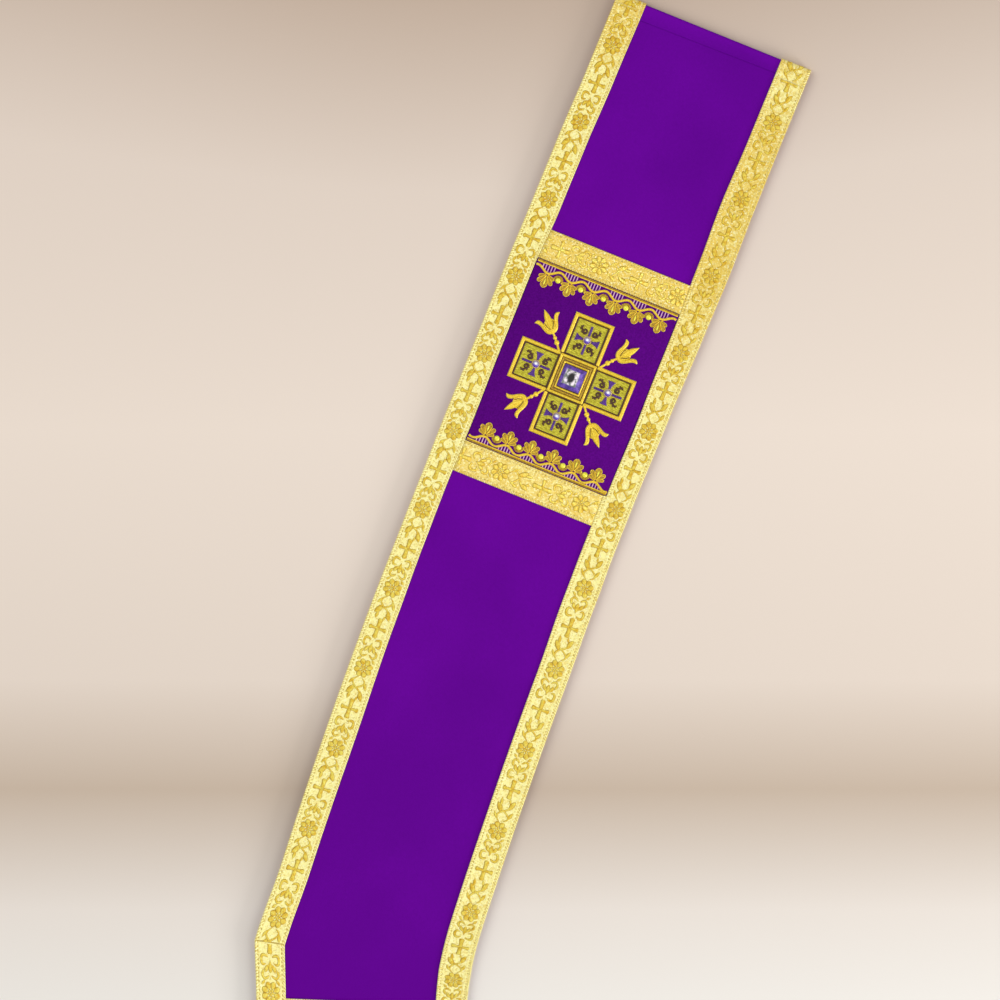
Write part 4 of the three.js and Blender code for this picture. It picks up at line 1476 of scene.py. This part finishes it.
def smooth_curve(points, count=5):
    """A smooth path through every one of the points."""
    p = np.array(points, float)
    p = np.concatenate([[2 * p[0] - p[1]], p, [2 * p[-1] - p[-2]]])
    t = np.linspace(0, 1, count, endpoint=False)[:, None]
    parts = []
    for a, b, c, d in zip(p[:-3], p[1:-2], p[2:-1], p[3:]):
        square, cube = 2 * a - 5 * b + 4 * c - d, 3 * b - a - 3 * c + d
        parts.append(0.5 * (2 * b + (c - a) * t + square * t**2 + cube * t**3))
    return np.concatenate([*parts, p[-2:-1]])


# A curl beside an arm's stone, from its tip inwards, and its two side shoots and root
CURL = (
    (7.2, 8.2), (6.3, 7.1), (5.4, 5.6), (4.4, 4.3), (3.3, 3.8), (2.4, 4.4), (2.2, 5.5), (2.8, 6.5),
    (3.8, 6.7), (4.4, 6.0), (4.2, 5.2),
)
CURL_FORKS = (((6.5, 7.4), (5.7, 8.9)), ((5.9, 6.4), (7.5, 6.2)), ((4.8, 4.8), (6.0, 4.1)))


def crosslet(arm, middle):
    """Braided bars, flared tips and curls round an arm's stone."""
    made = []
    for way in (-1, 1):
        bar = turned_quarter([(0, way * 3.1), (0, way * 9.9)], arm) + middle
        made.append(along_path(bar, 1.8, 1.2, 1.85, 0.9, 4, ridge=0.4))
        flare = smooth_curve([(3.0, 0.9), (4.6, 1.15), (6.4, 1.75), (8.2, 2.95)])
        a = turned_quarter(flare * (way, -1), arm) + middle
        b = turned_quarter(flare * (way, 1), arm) + middle
        made.append(satin(a, b, 1.2, 1.8, 0.6, 4))
        for up in (-1, 1):
            for path, width in ((smooth_curve(CURL), 1.6), *((fork, 1.25) for fork in CURL_FORKS)):
                curl = turned_quarter(np.array(path) * (way, up), arm) + middle
                made.append(along_path(curl, width, 1.2, 1.8, 0.7, 3, 0.4, ridge=0.3, columns=4))
    return made


# Half of a lily, from its foot to its tips
LILY_OUTER = (
    (0, 0), (1.5, 0.1), (2.9, 0.7), (4.3, 2.2), (5.4, 4.8), (6.3, 7.8), (7.6, 9.9), (9.3, 11.3)
)
LILY_INNER = (
    (0, 3.4), (1.6, 3.8), (3.0, 4.9), (3.5, 7.5), (4.6, 10.5), (6.2, 12.1), (7.8, 12.1), (9.3, 11.4)
)
LILY_MIDDLE = ((0.3, 2.6), (1.5, 5.4), (2.15, 8.6), (2.0, 11.6), (1.2, 14.4), (0.05, 17.2))
LILY_BULB = ((0.3, 0.3), (2.3, 0.9), (3.9, 3.0), (4.3, 5.6), (3.9, 8.2), (2.4, 9.8), (0.3, 10.4))
LILY_GROOVE = ((0.6, 3.0), (1.7, 4.6), (2.6, 6.6), (2.9, 8.6))
# How far out a lily stands, and how its spray leans from there on
LILY_FOOT, LILY_LEAN, LEAN_START, LEAN_RUN = 32.3, 1.2, 17, 32


def lily_patches():
    """Four three-petalled lilies on beaded stems, on the diagonals of the cross."""
    outer, inner, middle = (smooth_curve(path) for path in (LILY_OUTER, LILY_INNER, LILY_MIDDLE))
    sprays = []
    bulb = smooth_curve(LILY_BULB)
    flower = [
        satin(bulb * (-1, 1), bulb, 0.6, 1.5),
        satin(outer, inner, 0.6, 1.85),
        satin(outer * (-1, 1), inner * (-1, 1), 0.6, 1.85),
        satin(middle * (-1, 1), middle, 0.7, 2.05),
    ]
    for way in (-1, 1):
        groove = smooth_curve([(way * x, y) for x, y in LILY_GROOVE])
        flower.append(along_path(groove, 0.5, 1.2, 2.0, 0.7, 1, 0.6, columns=3))
    spray = [part.moved(lambda q: q + (0, LILY_FOOT, 0)) for part in flower]
    spray.append(along_path(smooth_curve([(0, 17.2), (0.5, 20.5), (0.1, 24.6)]), 1.6, 0.6, 1.5))
    spray.append(along_path([(0, 26.8), (-0.2, 30.0), (0, 33.2)], 1.6, 0.6, 1.5))
    spray.append(dome((0, 25.9), 1.75, 0.6, 2.0))
    spray.append(dome((-0.1, 29.3), 1.35, 0.6, 1.8))
    cos = math.cos(math.pi / 4)
    diagonal = np.array([[cos, -cos, 0], [cos, cos, 0], [0, 0, 1]])

    def leaning(points):
        far = np.clip(points[:, 1:2] - LEAN_START, 0, None) / LEAN_RUN
        return (points + np.array([[-LILY_LEAN, 0, 0]]) * far**1.5) @ diagonal

    for way in ((1, 1, 1), (-1, 1, 1), (-1, -1, 1), (1, -1, 1)):
        sprays += [part.moved(lambda q: leaning(q) * np.array(way)) for part in spray]
    return sprays


def dome(middle, radius, base, top, sides=14, rings=5, index=0):
    """A round knob of thread, with an upright foot and a domed top."""
    x, y = middle
    turns = np.linspace(0, 2 * math.pi, sides, endpoint=False)
    rows = [(radius, base - 0.2)]
    for level in np.linspace(0, math.pi / 2 * 0.94, rings):
        rows.append((radius * math.cos(level), base + (top - base) * math.sin(level)))
    grid = np.array([[(x + r * math.cos(t), y + r * math.sin(t), h) for t in turns] for r, h in rows])
    return swept(grid, finish=index)


# Each border as its shells' middle and pitch, how far it stops short of the galloons, and how
# much nearer its rails the lower one's pattern sits
UPPER_BORDER = (-1.7, 16.2)
LOWER_BORDER = (0.9, 15.8)
BORDER_INSET = 0.7
LOWER_SINK = 1.2
# The level of the wavy cord's middle line, and the height of its waves
CORD_LEVEL, CORD_WAVE = -5.45, 1.75


def cord_level(x, middle, pitch):
    """The wavy cord's height at places along a border."""
    return CORD_LEVEL + CORD_WAVE * np.cos(2 * math.pi * (x - middle) / pitch)


def border_patches(left, right, middle, pitch):
    """A border that hangs from y = 0; finishes are numbered in BORDER_FINISHES."""
    made = []
    x = np.arange(left, right, 0.4)
    cord = np.stack([x, cord_level(x, middle, pitch)], -1)
    made.append(along_path(cord, 1.65, 0.7, 1.9, 0.55))
    # The rail nearest the galloon is dark rope gold, a painted shadow line; the other is gold satin
    for level, width, index in ((-0.4, 0.95, 2), (-1.3, 1.0, 0)):
        made.append(along_path([(left, level), (right, level)], width, 0.6, 1.5, 0.7, index))
    for at in (middle + (i - 2.5) * pitch for i in range(6)):
        made += shell((at, -7.9))
    for at in (middle + (i - 2) * pitch for i in range(5)):
        made.append(dome((at, -9.1), 1.9, 0.7, 1.95, 16, 6, 1))
        turn = np.linspace(-0.12, 1.12, 22) * math.pi
        arch = np.stack([at + 2.8 * np.cos(turn), -9.3 + 2.8 * np.sin(turn)], -1)
        made.append(along_path(arch, 1.7, 0.7, 1.4, 0.7, 2, ridge=0.3, columns=4))
    for bar in np.arange(left + 0.6, right - 0.4, pitch / 8):
        low = cord_level(bar, middle, pitch)
        if low < CORD_LEVEL + 0.6:
            tooth = [(bar, -1.7), (bar, low + 0.5)]
            made.append(along_path(tooth, 0.85, 0.6, 1.25, 1.6, 3, ridge=0.1, columns=3))
    return made


# Each lobe of a shell as (turn in degrees, distance of its middle, radius)
LOBES = ((-64, 4.5, 1.3), (-38, 6.2, 1.6), (38, 6.2, 1.6), (64, 4.5, 1.3), (0, 6.5, 2.5))


def shell(hinge):
    """A five-lobed fan: a brown-gold fill, paler outlines and a bright tear in the middle."""
    made = []
    for turn, reach, radius in LOBES:
        turn = math.radians(turn)
        tip = np.array([math.sin(turn), -math.cos(turn)])
        side = np.array([-tip[1], tip[0]])
        round_part = reach + radius * np.sin(np.linspace(0.25, 1.5, 5))
        out = np.concatenate([np.linspace(0.8, reach, 5), round_part])
        round_end = np.sqrt(np.clip(radius**2 - (out - reach) ** 2, 0, None))
        half = np.where(out <= reach, 0.35 + (radius - 0.35) * out / reach, round_end)[:, None]
        spine = np.array(hinge) + tip * out[:, None]
        made.append(satin(spine - side * half, spine + side * half, 0.6, 1.35, 0.6, 2))
        rim = half - 0.3
        around = np.concatenate([spine - side * rim, (spine + side * rim)[::-1]])
        made.append(along_path(around, 0.62, 0.7, 1.6, 0.6, 0, ridge=0.25, columns=3))
    t = np.linspace(0, 1, 12)[:, None]
    half = 0.62 * np.sin(np.pi * t**2)
    spine = np.array(hinge) + np.array([0, -1]) * (1.0 + 6.6 * t)
    made.append(satin(spine - (1, 0) * half, spine + (1, 0) * half, 0.9, 1.85, 0.55, 1))
    return made


CROSS_FINISHES = ("gold_satin", "field_gold", "rope_gold", "brown_thread", "purple_thread")
BORDER_FINISHES = ("gold_satin", "bright_gold", "rope_gold", "comb_thread")


# Stones


def box_of(thing):
    """A node's box in millimetres."""
    corners = np.array([thing.matrix_world @ vertex.co for vertex in thing.data.vertices])
    return corners.min(0) / MM, corners.max(0) / MM


def round_stone(arm):
    """A faceted round stone on its seat, in a rim of small beads."""
    node = f"arm_stone_{arm}"
    low, high = box_of(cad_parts[node])
    x, y, _ = (low + high) / 2
    radius, base, rise = (high[0] - low[0]) / 2, low[2], high[2] - low[2]
    turns = np.linspace(0, 2 * math.pi, 16, endpoint=False)
    rings = ((0.8, 0), (0.82, 0.3), (0.7, 0.68), (0.52, 0.92), (0.44, 1))
    shape = np.array([[(r * math.cos(a), r * math.sin(a), h) for a in turns] for r, h in rings])
    grid = shape * (radius, radius, rise) + (x, y, base)
    cos, sin = math.cos(SHOULDER_TILT), math.sin(SHOULDER_TILT)
    beside, ahead = shape[..., 0] * radius, shape[..., 1] * radius
    stone = swept(grid, u=beside * cos - ahead * sin, v=beside * sin + ahead * cos)
    bead = dome((0, 0), 0.5, 0, 0.95, 8, 3)
    places = [(x + radius * 0.95 * math.cos(a), y + radius * 0.95 * math.sin(a), base) for a in turns]
    beads = repeated(scatter_tree, bead, places, turns, 1, Seed=2, Thread=finish("rose_gold"))
    patches, finishes = [from_frame(stone), from_frame(beads)], ["round_crystal", "rose_gold"]
    return make_piece(f"round_stone_{arm}", patches, finishes, [node])


# Operators


class StoleSizes(bpy.types.PropertyGroup):
    weave_pitch: bpy.props.FloatProperty(
        name="Weave pitch",
        description="Distance from thread to thread of the purple cloth",
        default=0.0006,
        min=0.0002,
        max=0.003,
        unit="LENGTH",
    )
    floor_size: bpy.props.FloatProperty(
        name="Floor size",
        description="Side of the studio floor",
        default=8.0,
        min=2.0,
        unit="LENGTH",
    )


class StoleColours(bpy.types.PropertyGroup):
    cloth_dark: bpy.props.FloatVectorProperty(
        name="Cloth, shade",
        description="The purple cloth where it is darkest",
        default=(0.365, 0.012, 0.55),
        subtype="COLOR_GAMMA",
        size=3,
    )
    cloth_light: bpy.props.FloatVectorProperty(
        name="Cloth, light",
        description="The purple cloth where it is lightest",
        default=(0.41, 0.018, 0.61),
        subtype="COLOR_GAMMA",
        size=3,
    )
    galloon_pale: bpy.props.FloatVectorProperty(
        name="Galloon, pale",
        description="The galloon's ground where its thread catches the light",
        default=(1.0, 0.97, 0.64),
        subtype="COLOR_GAMMA",
        size=3,
    )
    galloon_tan: bpy.props.FloatVectorProperty(
        name="Galloon, tan",
        description="The galloon's ground where its thread lies in shade",
        default=(0.92, 0.79, 0.33),
        subtype="COLOR_GAMMA",
        size=3,
    )


class STOLE_OT_cloth(bpy.types.Operator):
    """Makes the front and the back half of the purple band"""

    bl_idname = "stole.cloth"
    bl_label = "Cloth halves"

    def execute(self, context):
        seam, slant = CLOTH_SEAM
        along = front_run(seam)
        ends = end_shares(along, along[0], along[-1])
        slants = slant * (1 - smoothstep(along, seam, seam + 12))
        stations, length = (along, np.zeros(len(along)), along), BAND_LENGTH - seam
        cloth_band("front", stations, ends, slants, FRONT_CREASES, length)
        along, angle, run = back_run(seam, CLOTH_MIDDLE, 14)
        ends = end_shares(run, run[0], run[-1])
        slants = np.where(angle == 0, slant * smoothstep(along, AXIS, seam), 0)
        stations, rests_on = (along, angle, run), ["back_trim_left"]
        cloth_band("back", stations, ends, slants, BACK_CREASES, run[-1])
        return {"FINISHED"}


class STOLE_OT_galloons(bpy.types.Operator):
    """Makes the galloons along the edges and across the front"""

    bl_idname = "stole.galloons"
    bl_label = "Galloons"

    def execute(self, context):
        for half in ("front", "back"):
            for side in ("left", "right"):
                edge_galloon(side, half)
        for node, measures in CROSS_GALLOONS.items():
            cross_galloon(node, *measures)
        return {"FINISHED"}


class STOLE_OT_panel(bpy.types.Operator):
    """Makes the embroidered panel's ground"""

    bl_idname = "stole.panel"
    bl_label = "Panel ground"

    def execute(self, context):
        half = (PANEL_BOTTOM - PANEL_TOP - GAP) / 2
        top_left = -edge("left_inner", PANEL_TOP) + GAP
        top_right = edge("right_inner", PANEL_TOP) - GAP
        low_left = -edge("left_inner", PANEL_BOTTOM) + GAP
        low_right = edge("right_inner", PANEL_BOTTOM) + PANEL_PUSH - GAP
        corners = [(low_left, -half), (low_right, -half), (top_right, half), (top_left, half)]
        ground = slab(corners, 0, GROUND_TOP)
        piece = panel_piece("panel_ground", [ground], ["panel_cloth"], ["embroidered_panel"])
        declare_sheet(low_right - low_left, 2 * half, 0.995)
        return {"FINISHED"}


class STOLE_OT_cross(bpy.types.Operator):
    """Makes the raised cross and its lilies"""

    bl_idname = "stole.cross"
    bl_label = "Cross and lilies"

    def execute(self, context):
        panel_piece("cross_embroidery", about_cross(cross_patches()), CROSS_FINISHES)
        panel_piece("lily_embroidery", about_cross(lily_patches()), ["gold_satin", "brown_thread"])
        return {"FINISHED"}


class STOLE_OT_borders(bpy.types.Operator):
    """Makes the scalloped borders at the panel's top and bottom"""

    bl_idname = "stole.borders"
    bl_label = "Scalloped borders"

    def execute(self, context):
        half = (PANEL_BOTTOM - PANEL_TOP - GAP) / 2
        left = -float(edge("left_inner", PANEL_TOP)) + BORDER_INSET
        right = float(edge("right_inner", PANEL_TOP)) - BORDER_INSET
        upper = border_patches(left, right, *UPPER_BORDER)
        upper = [part.moved(lambda q: q + (0, half, 0)) for part in upper]
        left = -float(edge("right_inner", PANEL_BOTTOM)) - PANEL_PUSH + BORDER_INSET
        right = float(edge("left_inner", PANEL_BOTTOM)) - BORDER_INSET

        def turned_round(points):
            x, y, height = points.T
            sunk = LOWER_SINK * (1 - x / 120) * np.clip(-1.9 - y, 0, 1.6) / 1.6
            return np.stack([-x, -y - sunk - half, height], -1)

        lower = [part.moved(turned_round) for part in border_patches(left, right, *LOWER_BORDER)]
        panel_piece("upper_border", upper, BORDER_FINISHES)
        panel_piece("lower_border", lower, BORDER_FINISHES)
        return {"FINISHED"}


class STOLE_OT_stones(bpy.types.Operator):
    """Finishes the five stones"""

    bl_idname = "stole.stones"
    bl_label = "Stones"

    def execute(self, context):
        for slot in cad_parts["centre_stone"].material_slots:
            slot.material = finish("crystal")
        for arm in ARMS:
            round_stone(arm)
        return {"FINISHED"}


class STOLE_OT_stage(bpy.types.Operator):
    """Sets the floor, the lights and the camera"""

    bl_idname = "stole.stage"
    bl_label = "Stage"

    def execute(self, context):
        scene = context.scene
        scene.view_settings.view_transform = "Standard"
        size = scene.stole_sizes.floor_size / 2
        mesh = bpy.data.meshes.new("studio_floor")
        corners = [(x, y, FLOOR_LEVEL) for x, y in corners_of(-size, -size, size, size).values()]
        mesh.from_pydata(corners, [], [(0, 1, 2, 3)])
        mesh.materials.append(finish("floor"))
        floor = bpy.data.objects.new("studio_floor", mesh)
        scene.collection.objects.link(floor)

        world = bpy.data.worlds.new("studio")
        world.use_nodes = True
        background = world.node_tree.nodes["Background"]
        background.inputs["Color"].default_value = (1.0, 0.985, 0.96, 1)
        background.inputs["Strength"].default_value = 0.55
        scene.world = world
        # Each lamp as (name, place, size, power), aimed at the stole's upper part
        lamps = (
            ("key_light", (-1.2, 1.3, 2.4), 2.2, 30.0),
            ("fill_light", (1.6, -0.6, 2.0), 1.8, 14.0),
            ("low_light", (1.9, -1.0, 0.75), 0.7, 31.0),
        )
        for name, place, side, power in lamps:
            light = bpy.data.lights.new(name, "AREA")
            light.size = side
            light.energy = power
            lamp = bpy.data.objects.new(name, light)
            lamp.location = place
            aim = np.array([0, 0.3, 0]) - np.array(place)
            flat = math.hypot(aim[0], aim[1])
            lamp.rotation_euler = (math.atan2(flat, -aim[2]), 0, math.atan2(aim[1], aim[0]) - math.pi / 2)
            scene.collection.objects.link(lamp)

        camera = bpy.data.objects.new("camera", bpy.data.cameras.new("camera"))
        camera.location = (*VIEW_MIDDLE, CAMERA_HEIGHT)
        camera.data.lens = SENSOR_WIDTH * (CAMERA_HEIGHT - FRONT_LEVEL) / VIEW_WIDTH
        camera.data.sensor_width = SENSOR_WIDTH
        camera.data.clip_end = 20
        scene.collection.objects.link(camera)
        scene.camera = camera
        return {"FINISHED"}


class STOLE_PT_panel(bpy.types.Panel):
    """Sizes, colours and the steps that make the stole"""

    bl_idname = "STOLE_PT_panel"
    bl_label = "Deacon stole"
    bl_space_type = "VIEW_3D"
    bl_region_type = "UI"
    bl_category = "Stole"

    def draw(self, context):
        for group in (context.scene.stole_sizes, context.scene.stole_colours):
            for name in group.__annotations__:
                self.layout.prop(group, name)
        for operator in OPERATORS:
            self.layout.operator(operator.bl_idname)


OPERATORS = (
    STOLE_OT_stage,
    STOLE_OT_cloth,
    STOLE_OT_galloons,
    STOLE_OT_panel,
    STOLE_OT_cross,
    STOLE_OT_borders,
    STOLE_OT_stones,
)
CLASSES = (StoleSizes, StoleColours, *OPERATORS, STOLE_PT_panel)


def register():
    """Adds the classes and their settings."""
    for cls in CLASSES:
        bpy.utils.register_class(cls)
    bpy.types.Scene.stole_sizes = bpy.props.PointerProperty(type=StoleSizes)
    bpy.types.Scene.stole_colours = bpy.props.PointerProperty(type=StoleColours)


def unregister():
    """Takes them out again."""
    del bpy.types.Scene.stole_colours
    del bpy.types.Scene.stole_sizes
    for cls in reversed(CLASSES):
        bpy.utils.unregister_class(cls)


def main():
    """Makes the stole."""
    register()
    for operator in OPERATORS:
        module, name = operator.bl_idname.split(".")
        getattr(getattr(bpy.ops, module), name)()


if __name__ == "__main__":
    main()
